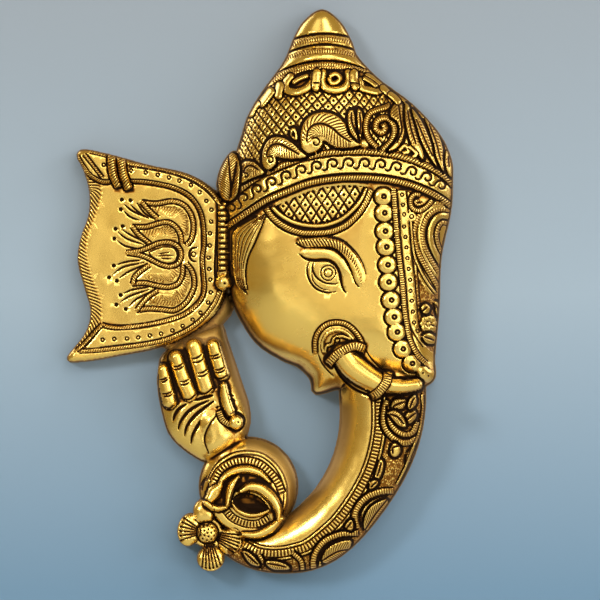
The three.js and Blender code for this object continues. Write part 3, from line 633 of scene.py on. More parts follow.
# The lotus on the ear is drawn by cords, with a fringe of fine cuts inside its petals. Long cuts that end in
# drilled dots are its stamens.
LOTUS_CORDS = [
    [(-79.2, 49), (-72.2, 48.2), (-64.2, 49.4), (-58.6, 47.8), (-55, 43.8), (-53.4, 38.8), (-53.4, 34),
     (-54.5, 30), (-56.6, 27.4)],
    [(-79.2, 49), (-75.8, 45.1), (-71.4, 41)],
    [(-83.7, 36.6), (-77, 36.6), (-70.6, 38.4), (-65.8, 38.8), (-61.8, 36.2), (-59.7, 32.2), (-59.3, 28)],
    [(-83.7, 36.6), (-81.7, 33.8), (-78.5, 30.8), (-75.2, 28.2)],
    [(-86.7, 23.6), (-80.1, 24.7), (-75.4, 26.4), (-70.6, 28.4), (-65, 28.7), (-60.8, 26.4), (-59.4, 22.4),
     (-61, 18.4), (-65, 16.8), (-69.8, 17.9), (-74.6, 20.3), (-79.7, 22.4), (-86.7, 23.6)],
    [(-83.7, 8.1), (-77.7, 8.5), (-72.2, 7.3), (-65.8, 6.5), (-61, 8.3), (-58.8, 12.5), (-58.6, 16.8)],
    [(-83.7, 8.1), (-82.5, 11.7), (-79.3, 14.8), (-75.5, 17.5)],
    [(-81.6, -5.1), (-75.4, -4.3), (-69, -4.7), (-62.6, -5.1), (-56.9, -1.1), (-53.4, 5.3), (-52.9, 10.1),
     (-54.2, 14.8), (-56.9, 18.2)],
    [(-81.6, -5.1), (-78.5, -1.1), (-75.4, 2.1), (-71.2, 4.9)],
]
for points in LOTUS_CORDS:
    cord(points, half=0.95, height=0.9, pitch=1.25, ditch=0.7, ditch_half=0.42)


def fringe(points, length, pitch=1.5, lean=0.5):
    """Fine cuts that start at a line, to its right, and thin out with their length."""
    at, across, run = near(spline(points), length)
    beside = across > 0
    at, across, run = at[beside], across[beside], run[beside]
    fade = 1 - across / (length * (0.55 + 0.45 * np.sin(run * 2.3) ** 2))
    cut_fine(at, (run + lean * across) / pitch, np.clip(3 * fade, 0, 0.75))


fringe([(-75.4, 46.6), (-68.2, 46.9), (-61, 45.9), (-56.6, 42), (-55.6, 35.6), (-56.2, 32.4)], length=4.5)
fringe([(-78.5, 34.9), (-72.2, 35.7), (-65.8, 36.5), (-62.2, 33.2), (-61, 30)], length=4.5)
fringe([(-60.2, 15.6), (-61.8, 11.3), (-65.8, 8.6), (-72.2, 9.3), (-77, 10.5)], length=4.5)
fringe([(-56.2, 14.8), (-55, 10.1), (-56.2, 5.3), (-58.6, 0.9), (-62.6, -2.5), (-70.6, -2.5), (-75.4, -1.9)],
    length=5.5)
groove([(-75.8, 23.6), (-72.2, 25.4), (-67.4, 26.6), (-63, 25.8), (-61.4, 22.4), (-63, 19), (-67.4, 18.4),
    (-72.2, 20), (-75.8, 23.6)], half=0.45, depth=0.6, taper=0.2)
for points in ([(-70.6, 23.2), (-65, 24)], [(-72.2, 22), (-63.4, 22.3)], [(-69.8, 20.8), (-64.2, 20.6)]):
    groove(points, half=0.45, depth=0.5)
STAMENS = [
    [(-88, 47.9), (-84.1, 44.7), (-77.9, 41.6)],
    [(-84.9, 47.7), (-80.1, 43.4), (-75.4, 40.7)],
    [(-81.6, 48.7), (-77.7, 43.4), (-72.8, 40.5)],
    [(-88.1, 44.5), (-84.9, 41.6), (-80.1, 39.7)],
    [(-89.3, 35.4), (-84.1, 32.2), (-76.3, 28.6)],
    [(-91.1, 34), (-86.5, 30.6), (-78.5, 27.8)],
    [(-91.5, 29.8), (-87.3, 27), (-80.1, 25.4)],
    [(-91.9, 17.6), (-86.5, 19.2), (-79.2, 20)],
    [(-93.5, 13), (-88.1, 16.6), (-78.5, 18.7)],
    [(-90.5, 10.9), (-85.7, 14.2), (-77, 17.9)],
    [(-88.4, 3.3), (-83.3, 5.3), (-75.2, 6.5)],
    [(-89.9, -1.1), (-84.9, 2.1), (-75.4, 5.3)],
    [(-85.6, -3.1), (-81.7, 0.5), (-72.8, 4.8)],
]
for points in STAMENS:
    groove(points, half=0.6, depth=0.8, taper=0.8)
holes([(-89.2, 50.2), (-84.9, 49.9), (-89.7, 45.4), (-88.8, 36.9), (-92.3, 35.6), (-92.9, 30.7),
    (-93.2, 17.2), (-95.5, 11.3), (-91.7, 9.6), (-89.8, 2.5), (-91.9, -2.3), (-87.2, -4.5)], radius=1.0)
groove([(-51.3, 26.4), (-54.2, 25.6), (-55.4, 22.8), (-54.2, 19.9), (-51.6, 19.1)],
    half=0.65, depth=0.8, taper=0.5)
ring_marks([(-53.2, 22.8)], radius=1.15, depth=0.6)

# A turned rod of narrow ribs, with a drilled bead at its foot, stands in the gap between ear and head.
ROD_HALF, ROD_LEVEL, ROD_RIB_PITCH = 2.6, 17.6, 2.75
at, across, run = near(spline([(-38.2, 47.5), (-38.3, 35.6), (-38.4, 22.8), (-38.3, 14)]), ROD_HALF)
rib = np.abs(np.sin(np.pi * run / ROD_RIB_PITCH)) ** 0.6
lift_to(at, ROD_LEVEL + (1.6 * rib + 1.2) * arch(across / ROD_HALF))
ink(at, ((run / ROD_RIB_PITCH + 0.5) % 1 - 0.5) * ROD_RIB_PITCH, 0.62)
knobs([(-38.2, 12.9)], radius=3.0, height=1.6, level=ROD_LEVEL)
knobs([(-37.9, 8.8)], radius=4.1, height=4.8, level=ROD_LEVEL)
holes([(-37.6, 8.3)], radius=0.7, depth=0.7)


# The raised hand is open, its palm to the front. Fingers, thumb and the ball of the thumb stand proud of it
# as smooth round bars with paired creases, and four long cuts are the lines of the palm. Its sloping right
# side is unpolished.
def bar(points, radii, level, rise, power=2.0, fall=0.5):
    """A smooth bar with round ends, whose radius follows the given ones from end to end. Its section is a
    half ellipse, or runs out softly with a fall of one."""
    path = spline(points)
    radius = np.interp(np.linspace(0, 1, len(path)), np.linspace(0, 1, len(radii)), radii)
    at, which, dx, dy = around(path, max(radii))
    share = np.clip(np.hypot(dx, dy) / radius[which], 0, 1)
    lift_to(at[share < 1], (level + rise * (1 - share**power) ** fall)[share < 1])


HAND_SIDE = [(-40.4, -16.9), (-37.4, -18.6), (-34.7, -24.9), (-31.2, -34.1), (-28.3, -43.3), (-25.5, -52.5),
    (-24.6, -61.7), (-25.8, -67.4), (-29.5, -66.5), (-27.5, -61.7), (-28.1, -56.5), (-30.6, -50.2),
    (-34.1, -42.1), (-36.1, -35.3), (-38.6, -28.9), (-39.8, -22.6)]
at, inner = region(HAND_SIDE)
matte[at] = np.clip(inner / 0.8, 0, 0.9)
matte[((web_depth > 0) & (ear_depth < 0) & (head_depth < 0)).reshape(-1)] = 0.8
FINGER_BED = [(-70.5, -33), (-65.7, -24.3), (-57, -19.2), (-47.9, -17.5), (-39.8, -18.6), (-36.4, -27.2),
    (-34.1, -37.6), (-39.8, -42.1), (-43.3, -46.7), (-52.4, -50.2), (-61.6, -54.2), (-67.7, -54.2)]
at, inner = region(FINGER_BED)
skin[at] -= 0.7 * smooth(0, 2, inner)
FINGERS = [
    ([(-68.6, -34.7), (-66.9, -43), (-65, -50.9)], [2.9, 3.5, 3.7]),
    ([(-62, -28.8), (-59, -38.1), (-55.3, -47)], [3.6, 4.0, 4.1]),
    ([(-53, -23.3), (-50.2, -33.5), (-47, -43.6)], [4.1, 4.3, 4.4]),
    ([(-43.3, -23), (-41.3, -30.1), (-39.1, -37)], [3.6, 3.8, 3.7]),
]
for points, radii in FINGERS:
    bar(points, radii, level=15.4, rise=5.6, power=2.4)
CREASES = [
    [(-70.1, -39.7), (-68.2, -39.6), (-66.3, -38.5)],
    [(-69.7, -41), (-67.9, -40.9), (-66, -39.6)],
    [(-69.1, -46.7), (-66.5, -46.8), (-63.8, -45.7)],
    [(-68.7, -48.1), (-66.2, -48.1), (-63.6, -47)],
    [(-63.5, -33.2), (-60.9, -33.1), (-58.4, -31.7)],
    [(-63, -34.8), (-60.5, -34.5), (-58.1, -33)],
    [(-60.4, -40.9), (-57.9, -40.8), (-55.4, -39.6)],
    [(-59.9, -42.4), (-57.5, -42.3), (-55.2, -41.1)],
    [(-54.3, -29.3), (-51.6, -28.9), (-49, -27.2)],
    [(-53.8, -31.2), (-51, -31.1), (-48.3, -29.5)],
    [(-51.6, -36.6), (-49, -36.3), (-46.2, -34.6)],
    [(-51.2, -38.2), (-48.5, -38), (-46, -36.5)],
    [(-44.9, -27.9), (-42.6, -27.8), (-40.3, -26.9)],
    [(-44.5, -29.2), (-42.1, -29.1), (-39.6, -28.2)],
    [(-42.7, -35), (-40.1, -34.7), (-37.7, -33.5)],
    [(-42.3, -36.3), (-39.8, -36.1), (-37.5, -34.9)],
]
for points in CREASES:
    groove(points, half=0.55, depth=0.9, taper=0.6)
for points in ([(-67.8, -53.2), (-65.4, -54.1), (-62.8, -52.5)], [(-57.9, -49.5), (-55, -49.6), (-51.9, -47)],
    [(-50.8, -46), (-47.3, -46.7), (-43.3, -43.9)], [(-42.4, -38.7), (-39.8, -39.4), (-36.1, -37.6)]):
    groove(points, half=0.6, depth=0.9, taper=0.5)
PALM_LINES = [
    [(-63.4, -60.5), (-62.3, -57), (-59.9, -53.9), (-56.5, -51.8)],
    [(-60.9, -64.8), (-59.8, -61.1), (-56.8, -56.8), (-52.4, -53.3), (-45.6, -50.2)],
    [(-57.7, -67.7), (-56.5, -63.1), (-53, -58.2), (-47.9, -53.9), (-42.7, -50.2)],
    [(-54.5, -71.7), (-53.6, -67.4), (-50.7, -62.2), (-46.1, -57.1), (-40.4, -53)],
    [(-43.3, -47.6), (-47.9, -48.7), (-53, -50.2)],
]
for points in PALM_LINES:
    groove(points, half=1.0, depth=1.4, taper=0.85)
THUMB_BALL, BALL_RADIUS, BALL_RISE = [(-42.4, -61.7), (-40.4, -68), (-41.5, -72.6)], 7.6, 3.0
at, away = spots(spline(THUMB_BALL), BALL_RADIUS)
lift(at, BALL_RISE * (1 - (away / BALL_RADIUS) ** 2) ** 1.3)
groove([(-45.6, -76.6), (-47.6, -70.8), (-47, -66.3), (-44.4, -61.1), (-41, -56.5)],
    half=0.55, depth=0.8, taper=0.4)
bar([(-38.2, -42.7), (-37.6, -47.3), (-36.3, -52.5), (-34.8, -55.9)], [1.7, 2.2, 2.5, 2.3],
    level=19.6, rise=3.4)
ladder([(-40.4, -55.9), (-38.6, -59.9), (-34.7, -62.5)], half=1.5, height=3.6, pitch=1.1, depth=0.4)
knobs([(-31.9, -61.1)], radius=3.5, height=3.2, power=2.6, level=20.5)
groove([(-35.3, -57.1), (-31.8, -55.9), (-28.1, -58.2), (-27.7, -61.7), (-30.1, -65.4)],
    half=0.45, depth=0.8, taper=0.5)
holes([(-30.9, -61)], radius=0.5, depth=0.7)
for points in ([(-36.1, -47.2), (-34.4, -47.4), (-33.2, -47.9)], [(-35.1, -49.7), (-33.4, -49.6),
    (-32.5, -50.5)], [(-40.4, -49.6), (-39.8, -52.5), (-37.8, -57.6)]):
    groove(points, half=0.45, depth=0.5)


# The end of the trunk curls over the wrist: a nicked hoop holds smooth folds round a dark bowl, browned by
# patina at its edges and painted darker towards its bottom as shade. The forearm behind it was left unpolished
# outside the hoop.
right_of_hoop = (forearm_depth > DRAFT) & (hand_depth < 0) & (trunk_angle < 100)
CURL_MIDDLE, CURL_RADIUS = (-26.1, -96.9), 19.6
from_curl = np.hypot(x - CURL_MIDDLE[0], y - CURL_MIDDLE[1])
matte = np.maximum(matte, (0.75 * (from_curl > CURL_RADIUS) * right_of_hoop * (x > -48)).reshape(-1))
knobs([CURL_MIDDLE], CURL_RADIUS, height=3, level=17)
ridge([(-45.8, -90.8), (-41.4, -82.8), (-33.9, -77.6), (-26.1, -76.2), (-18.2, -77.9), (-11.6, -83.6),
    (-7.7, -91.5), (-7.2, -100.6), (-8.2, -107.3)], half=0.7, height=1.0, ditch=0.3)
ladder([(-43.3, -90.5), (-40, -85), (-34.4, -81.4), (-27.6, -80.1), (-20.7, -81.7), (-15.1, -86.1),
    (-11.1, -91.1), (-8.8, -96.5)], half=1.65, height=1.0, pitch=1.75, depth=0.9, ditch=0.9)
bar([(-40.8, -95.2), (-38.5, -89.4), (-33.5, -85.9), (-26.9, -84.7), (-20.3, -86.4), (-15.3, -90.7)],
    [0.8, 1.5, 2.0, 2.2, 1.9, 0.7], level=18.5, rise=4.2)
bar([(-29.6, -95.5), (-25.2, -93.3), (-19.3, -94.5), (-14.3, -98.6), (-11, -104.4), (-10.8, -109.9)],
    [1.4, 2.5, 2.9, 2.8, 2.2, 0.7], level=19, rise=5.2)
BOWL = [(-33.5, -99), (-30.2, -96.5), (-24.8, -96.5), (-19.4, -99), (-15.3, -104.8), (-20.3, -106.3),
    (-26.9, -106), (-32.3, -103.1)]
at, inner = region(BOWL)
skin[at] = np.minimum(skin[at], 18 - ground[at] - 2 * smooth(0, 3, inner))
# Painted shade: the bowl is darkened towards its bottom.
stain_and_shade[at] = 0.6 * smooth(0, 1, inner) * smooth(BOWL[0][1] + 1, BOWL[0][1] - 6, flat_y[at])
bar([(-33.7, -101.9), (-30.6, -105.4), (-25.6, -107.4), (-20.3, -107.1), (-15.7, -105.2)],
    [0.6, 1.0, 1.1, 1.0, 0.6], level=18.5, rise=3)
ladder([(-37.5, -104.6), (-33.5, -108.9), (-27.3, -111.6), (-21.1, -111.8), (-15.1, -108.7)],
    half=1.6, height=1.0, pitch=1.6, depth=0.9, ditch=0.9)
bar([(-29, -117), (-21.9, -117.4), (-15.3, -114.7), (-9.1, -109.1)], [1.2, 2.1, 2.3, 1.2], level=17, rise=3.6)
groove([(-27.9, -119.9), (-20.3, -119.9), (-12.8, -116.5), (-6.2, -108.9)], half=0.8, depth=1.6, taper=0.3)
bar([(-45.1, -99.6), (-42.2, -95.6), (-40, -93)], [2.4, 3.6, 1.8], level=19, rise=3.6)
bar([(-47.2, -101.3), (-42.2, -104.1), (-37, -103.5)], [1.3, 1.6, 0.9], level=20, rise=3.6)
bar([(-30.7, -88.4), (-33.5, -91.9), (-35.3, -96.5), (-36.4, -102.4)], [0.7, 2.3, 1.8, 1.0],
    level=20, rise=5.6)
groove([(-30.4, -88.6), (-32.3, -93.2), (-33.5, -97.3), (-34.8, -101.5)], half=0.7, depth=1.6, taper=0.5)
for points in ([(-47.8, -88.6), (-49.7, -93.2), (-50.1, -96.5)], [(-46.4, -87.4), (-48.3, -91.9),
    (-48.9, -95.6)]):
    groove(points, half=0.6, depth=1.0)

# The flower on the curl has a dotted heart and four cupped petals, three of them with rays that end in dots.
HEART_RADIUS = 5.2
PLAIN_PETAL = 100  # the turn of the one without rays
for turn, reach, length, width in PETALS:
    middle = toward(FLOWER_MIDDLE, reach, turn)
    at, _, dx, dy = around([middle], max(length, width) + 1)
    out, across = turned(dx, dy, turn)
    share = np.hypot(out / length, across / width)
    petal = np.hypot(dx, dy) < max(length, width)
    lift_to(at[petal], FLOWER_TOP - 3 + 4.5 * arch(share[petal], 2.5))
    ink(at, (share - 1) * min(length, width), 0.35)
    if turn != PLAIN_PETAL:
        for k in (-0.8, -0.5, -0.18, 0.14, 0.46, 0.78):
            start = toward(FLOWER_MIDDLE, HEART_RADIUS + 0.6, turn + 26 * k)
            out = length * (0.5 * math.sqrt(1 - k * k) + 0.22)
            end = toward(toward(middle, out, turn), 0.84 * k * width, turn + 90)
            groove([start, np.mean([start, end], axis=0), end], half=0.5, depth=0.9, taper=0.4)
            holes([end], radius=0.65, depth=0.7)
at, away = spots([FLOWER_MIDDLE], HEART_RADIUS)
skin[at] = np.maximum(skin[at], FLOWER_TOP - 1.5 + 4.5 * arch(away / HEART_RADIUS, 2.2) - ground[at])
at, away = spots([FLOWER_MIDDLE], HEART_RADIUS + 1.1)
skin[at] -= 0.9 * band(away - HEART_RADIUS - 0.2, 0.7, 0.7)
ink(at, away - HEART_RADIUS - 0.2, 0.5)
DOTS = [(0, 0)] + [(1.9, 72 * k) for k in range(5)] + [(3.7, 36 * k + 15) for k in range(10)]
holes([toward(FLOWER_MIDDLE, reach, turn) for reach, turn in DOTS], radius=0.55, depth=0.7)


# The face was polished smooth. The eye is cut in with a few deep lines under a nicked brow, and a tuft of
# hair hangs from the band in fine strands.
EYE = (14, 13.5)
# Painted shade: the face is browned near its lower left edge and towards its upper part, where it turns from
# the light.
painted_face_shade = (0.3 * (1 - smooth(3, 15, head_depth)) * (x < 20) * (y < 20)
        + 0.22 * smooth(12, 32, y) * (y < 48) * (x < 32))
stain_and_shade += (painted_face_shade * (head_depth > 0)).reshape(-1)


def strands(first, second, count):
    """Cuts from one end of a tuft to the other, spread evenly between its two edges."""
    edges = [spline(edge, 0.6) for edge in (first, second)]
    at, inner = within(np.vstack([edges[0], edges[1][::-1]]))
    lift(at, 1.8 * swell(inner / 3))
    stain_and_shade[at] = -0.3
    first, second = [edge[np.linspace(0, len(edge) - 1, 9).round().astype(int)] for edge in edges]
    for share in np.linspace(0, 1, count + 1)[1:-1]:
        groove((1 - share) * first + share * second, half=0.33, depth=0.8, taper=0.5)


strands([(-18.2, 42.8), (-26.2, 38.6), (-32.7, 34.4), (-33.7, 28.3), (-33.5, 19.1), (-32.7, 11.4),
    (-30.4, 5.3), (-26.4, 2.9)],
        [(-17.2, 42.7), (-19.7, 35.9), (-23, 28.3), (-25.8, 22.1), (-27.4, 16), (-27.4, 9.9), (-26.6, 5.3),
         (-26.2, 2.9)], count=6)
groove([(-17, 42), (-19.5, 35.5), (-22.7, 27.9), (-25.5, 22), (-26.8, 16), (-26.8, 9.9), (-26, 5.3)],
    half=0.5, depth=0.8, taper=0.4)

BROW_TOP = [(-0.8, 30.6), (5.9, 30.9), (13.6, 30.9), (20.5, 29), (26.4, 23.8), (30.3, 17.9), (32.6, 11.4),
    (30.8, 7.2)]
BROW_FOOT = [(-1.7, 28.4), (2.9, 26.3), (9, 26.4), (16.3, 26.1), (21.8, 22.1), (25.4, 16), (27.4, 10.3),
    (30.8, 7.2)]
at, inner = within(np.vstack([spline(BROW_TOP), spline(BROW_FOOT)[::-1]]))
lift(at, 1.7 * swell(inner / 1.8) * (1 - smooth(20, 38, flat_x[at])))
at, across, run = near(spline([(-1.3, 29.4), (5.9, 28.6), (13.6, 28.6), (18.9, 27.3), (24.1, 22.9),
    (27.7, 17.2), (29.8, 11.4), (30.6, 8)]), 2.8)
slim = 2.3 - 1.7 * smooth(20, 40, run)
skin[at] -= 0.6 * nick(run / 1.6 - 0.4 * across) * band(across, slim, 0.6)
cut_fine(at, run / 1.6 - 0.4 * across, band(across, slim, 0.6))
groove([(-2, 28.4), (2.9, 25.8), (9, 25.9), (16.3, 25.6), (21.5, 21.6), (24.9, 15.6), (26.7, 10),
    (29.3, 6.5)], half=0.7, depth=1.2, taper=0.5)
groove([(-0.2, 31.5), (6.7, 31.8), (14.3, 31.7), (21.2, 29.8), (27.4, 24.4), (31.2, 18.3), (33.1, 12.2)],
    half=0.4, depth=0.5)

at, across, run = near(spline([(0.4, 24.3), (4.4, 23.3), (9.7, 23.3), (15.1, 22.1), (19.3, 19.1), (22, 14.5),
    (23.9, 9.9), (25.1, 6.1)]), 2.6)
lift(at, 1.3 * arch(across / 2.6) * np.clip(run / 4, 0, 1) * np.clip((28 - run) / 8, 0, 1))
groove([(-0.4, 22.9), (2.9, 20.6), (7.5, 19.7), (12.8, 20), (16.8, 18.3), (19.5, 14.1), (20.5, 9.1),
    (21.4, 5.7), (22.9, 3.6)], half=0.95, depth=1.6, taper=0.75)
groove([(4.4, 19.2), (3.5, 15.3), (4.5, 10.3), (7.8, 5.9), (12.8, 3.8), (18.2, 4.2)],
    half=0.6, depth=1.0, taper=0.7)
groove([(6.8, 18.9), (6.2, 16), (7.8, 11.8), (12, 8.7), (17, 8), (19.1, 8.5)],
    half=0.55, depth=0.9, taper=0.7)
groove([(5.8, 16), (6.4, 9.9), (10.1, 6.1), (14.7, 4.9)], half=0.4, depth=0.4, taper=0.7)
ring_marks([EYE], radius=3.7, depth=1.0)
ring_marks([EYE], radius=2.05, depth=0.9)
knobs([EYE], radius=1.6, height=0.5)
at, away = spots([EYE], 6.5)
skin[at] += 0.9 * (1 - (away / 6.5) ** 2)

# The beads beside the face were cast as flat round studs and drilled.
BEADS = [(41.4, 51.5), (41.9, 43.3), (42.2, 34.2), (42.8, 26.4), (43.5, 17.5), (44, 8.9), (45.3, -0.1),
    (46.7, -8.5), (48.2, -16), (51.1, -24.4), (55.8, -31.7)]
BEAD_RADIUS = 4.6
at, away = spots(BEADS, BEAD_RADIUS + 0.9)
skin[at] -= 1.2 * (away >= BEAD_RADIUS) * np.clip(1 - (away - BEAD_RADIUS) / 0.9, 0, 1)
knobs(BEADS, BEAD_RADIUS, height=2.2, power=3.2)
ink(at, away - BEAD_RADIUS - 0.1, 0.55)
ring_marks([(px + 0.3, py) for px, py in BEADS], radius=0.95, depth=0.8, half=0.6)
for middle in ((61.4, -36.4), (64.2, -37.9)):
    knobs([middle], radius=3.4, height=2.6, power=2.6)
    holes([middle], radius=0.6, depth=0.7)

# Beside them run a fine cord, a plain line, a strip of ring marks and another plain line.
ladder([(46.5, 55.1), (47.1, 45.1), (48, 34.4), (48.9, 25.2), (50, 16), (51.1, 6.8), (52, -3.9),
    (53.1, -11.5), (54.9, -20), (58.9, -27.6), (62.9, -31.6)],
    half=1.15, height=0.8, pitch=1.15, depth=0.5, ditch=0.5)
RING_STRIP, RING_HALF = [(50.6, 54.3), (51.8, 42.6), (52.5, 31.3), (53.5, 20.8), (54.9, 10), (55.7, -0.4),
    (56.9, -11.2), (59.5, -16.9), (63.3, -22.2)], 2.2
at, across, _ = near(spline(RING_STRIP), 3.2)
lift(at, arch(across / RING_HALF, 4))
ink(at, np.abs(across) - RING_HALF - 0.1, 0.4)
ridge([(54, 53.5), (55, 42), (55.9, 31.3), (56.8, 22.1), (57.7, 14.5), (58.4, 5.3), (59.2, -3.9),
    (60.1, -11.9), (62.9, -17.7), (66.8, -23)], half=0.6, height=0.9, ditch=0.4)
ring_marks([(50.8, 52.4), (51.3, 47.4), (51.8, 42.6), (51.8, 36.5), (52.5, 31.3), (53, 26.1), (53.5, 20.8),
    (54.1, 15.4), (54.9, 10), (55.1, 4.5), (55.7, -0.4), (56.3, -5.8), (56.9, -11.2), (58.7, -15.4),
    (61.4, -20)], radius=0.8, depth=0.5, half=0.4)

# The brow plate: a crescent under the band, with a lattice of drilled lozenges inside a plain line and a
# cord.
PLATE_TOP = [(-13.6, 46.2), (-7.1, 49.3), (1.3, 53.1), (9.7, 55.8), (18.2, 57), (25.8, 57.2), (33.5, 56.4)]
PLATE_FOOT = [(-13.6, 45.9), (-9.4, 42), (-3.3, 38.7), (4.4, 37), (12, 37.1), (19.7, 39.7), (25.8, 44.3),
    (30.4, 49.7), (33.3, 55.4)]


def lattice(at, px, py, width, height, depth, hole, hole_depth):
    """Two sets of slanting cuts that cross, and a drilled dot in each lozenge between them."""
    u, v = px / width + py / height, px / width - py / height
    skin[at] -= depth * np.maximum(nick(u), nick(v))
    apart = width * height / math.hypot(width, height)
    ink(at, (u % 1 - 0.5) * apart, 0.45)
    ink(at, (v % 1 - 0.5) * apart, 0.45)
    du, dv = u - np.rint(u), v - np.rint(v)
    away = np.hypot((du + dv) / 2 * width, (du - dv) / 2 * height)
    skin[at] -= hole_depth * np.clip(1 - (away / hole) ** 3, 0, 1)
    ink(at, np.maximum(away - 0.3 * hole, 0), 0.6 * hole)


at, inner = within(np.vstack([spline(PLATE_TOP), spline(PLATE_FOOT)[::-1]]))
skin[at] -= 0.5 * smooth(0, 1, inner)
middle = (8.1, 47.5)
px, py = flat_x[at] - middle[0], flat_y[at] - middle[1]
lattice(at, px, py - 0.05 * px, width=5.5, height=8.3, depth=0.9, hole=0.85, hole_depth=1.0)
ridge(PLATE_FOOT, half=0.95, height=1.5, ditch=0.9)
cord([(-16.7, 45.5), (-13.6, 41.1), (-9.4, 37.7), (-4, 34.9), (2.1, 33.4), (9, 33.4), (15.9, 34.2),
    (22.8, 37.2), (28.1, 42), (32.3, 47.8), (35.4, 54.7)], half=1.35, height=1.3, pitch=1.3, ditch=0.9)
groove([(-17, 43.2), (-13.6, 38.6), (-9.4, 35.3), (-4, 32.9), (2.1, 31.6), (9, 31.6), (16.6, 32.5),
    (23.5, 35.5)], half=0.45, depth=0.6)


# The tusk comes out of a hooded socket: a twisted hood over a scroll, then a broad cuff, the smooth tusk, a
# ring round it and its smooth tip, all of one casting with the face.
cord([(7.6, -26.1), (7.6, -20), (9.6, -15.4), (13.6, -12.1), (18.2, -11.2), (22.9, -12.1), (26.7, -15),
    (29.8, -19.2), (31.6, -23.8)], half=1.05, height=1.2, pitch=1.2, slant=0.2, ditch=0.7)
SOCKET = [(10.1, -26.1), (10.1, -20), (12.8, -16.1), (17.8, -13.8), (23.5, -15), (27.4, -19.2), (29.3, -22.2),
    (23.5, -23), (18.2, -26.1), (14.3, -30.3)]
at, inner = region(SOCKET)
skin[at] -= 0.3 * smooth(0, 0.8, inner)
ridge([(12.7, -25.7), (13.2, -23), (15.9, -21.9), (17, -19.2), (20.5, -18), (25.1, -19.6)],
    half=0.7, height=0.6, ditch=0.3)
ring_marks([(18.5, -20.1)], radius=1.3, depth=0.7)
ridge([(11.4, -25.7), (11.3, -20.7), (13.6, -16.9), (18.2, -15), (22.8, -16.1), (26.4, -19.6)],
    half=0.6, height=0.5)
groove([(9, -26.8), (10.9, -31.4), (14, -35.3), (16.6, -37.9)], half=0.45, depth=0.8, taper=0.7)
bar([(21.8, -27.5), (26, -32.8), (31.7, -37.4), (38.8, -41.5)], [5.8, 6.0, 5.7, 4.9], level=38.3, rise=7.6)
bar([(41.9, -42.3), (50.3, -43.1), (58.3, -42.3)], [3.7, 3.4, 2.8], level=38, rise=6)


def cuff(points, half, level, rise, pitch):
    """A nicked band laid over a bar: its middle stands highest, and it falls away to both ends with the
    bar."""
    path = spline(points)
    at, across, run = near(path, half)
    top = level + rise * arch(2 * run / (0.5 * (len(path) - 1)) - 1) + arch(across / half)
    inside = band(across, half, 0.5)
    lift_to(at, top - 0.4 * nick(run / pitch) * inside)
    cut_fine(at, run / pitch, inside)
    at, across, _ = near(path, half + 1)
    ink(at, np.abs(across) - half - 0.1, 0.42)


cuff([(14.2, -31.6), (18.2, -27.2), (23.1, -24.2), (27.7, -22.9), (32.1, -24.4)],
    half=2.1, level=39.5, rise=5.6, pitch=1.3)
cuff([(43.9, -36.2), (43, -40.6), (39.9, -45.1), (35.9, -48.3)], half=2.2, level=38.7, rise=7.2, pitch=1.2)
groove([(32.6, -24.7), (35.9, -29.7), (40.4, -34.2), (45, -37.4), (51.8, -39.5), (56.4, -39.5)],
    half=0.5, depth=0.6, taper=0.4)
at, inner = region([(33.5, -23), (44.2, -25.3), (54.1, -33.7), (57.2, -38.3), (51.8, -38.7), (42.7, -36),
    (36.5, -29.9)])
stain_and_shade[at] = -0.35 * smooth(0, 2, inner)
groove([(17, -32.6), (21.2, -39.1), (27.4, -44.4), (35.4, -47.9)], half=0.8, depth=1.6, taper=0.3)


# The crown is a band with a punched scroll between two cords, a dome of drilled lozenges with leaves along
# its foot, a collar of scrolls, and turned tiers up to a smooth knob.
BAND_UPPER = [(-36.9, 49.1), (-27.3, 57), (-19.7, 62), (-10.5, 66.2), (-0.6, 70), (10.9, 72.7), (22.4, 73.8),
    (33.9, 73.8), (44.6, 72.7), (55.3, 70), (64.5, 66.2), (72.1, 61.6), (76.9, 57)]
BAND_MIDDLE = [(-36.9, 43.5), (-27.3, 51.3), (-19.7, 55.9), (-9.7, 60.5), (1, 64.7), (12.5, 67.3),
    (23.9, 68.1), (35.4, 67.7), (46.1, 66.6), (56.8, 63.5), (66, 59.7), (76, 53.4)]
BAND_LOWER = [(-36.1, 36.9), (-25.8, 43.8), (-16.6, 49.6), (-5.9, 54.2), (4.8, 58.2), (17, 60.3),
    (29.3, 60.8), (41.5, 60.1), (53, 57.9), (63, 54.3), (70.6, 50.4), (76.9, 45.8)]
at, across, _ = near(spline(BAND_MIDDLE), 9)
lift(at, 2.2 * (1 - smooth(6.6, 8.6, np.abs(across))))
at, across, _ = near(spline(BAND_MIDDLE), 5)
skin[at] -= 0.6 * (1 - smooth(3.4, 4.4, np.abs(across)))


def cord_on(points, half, rise, pitch, slant, level):
    """A twisted cord on a raised band."""
    at, across, run = near(spline(points), half + 1)
    inside = np.abs(across) < half
    lift(at[inside], level + rise * arch(across[inside] / half))
    skin[at[~inside]] = np.minimum(skin[at[~inside]], level - 0.9)
    cut_fine(at, (run + slant * across) / pitch, band(across, half, 0.3))
    ink(at, np.abs(across) - half - 0.3, 0.45)


cord_on(BAND_UPPER, half=1.35, rise=1.4, pitch=1.5, slant=0.5, level=1.6)
cord_on(BAND_LOWER, half=1.35, rise=1.5, pitch=1.3, slant=0.3, level=1.6)
groove([(px, py + 2.3) for px, py in BAND_LOWER], half=0.45, depth=0.6, taper=0.1)

# The scroll is a row of waves struck into the strip, each rising from under the one before and curling in on
# itself.
SCROLL_PITCH = 8.0
WAVE = np.array([(-5.4, 2.2), (-3.9, 2.7), (-2.6, 1.8), (-2.3, 0.2), (-1.7, -1.5), (0, -2.4),
                 (1.9, -1.7), (2.5, 0), (1.6, 1.3), (0, 1.2), (-0.4, 0.1)])


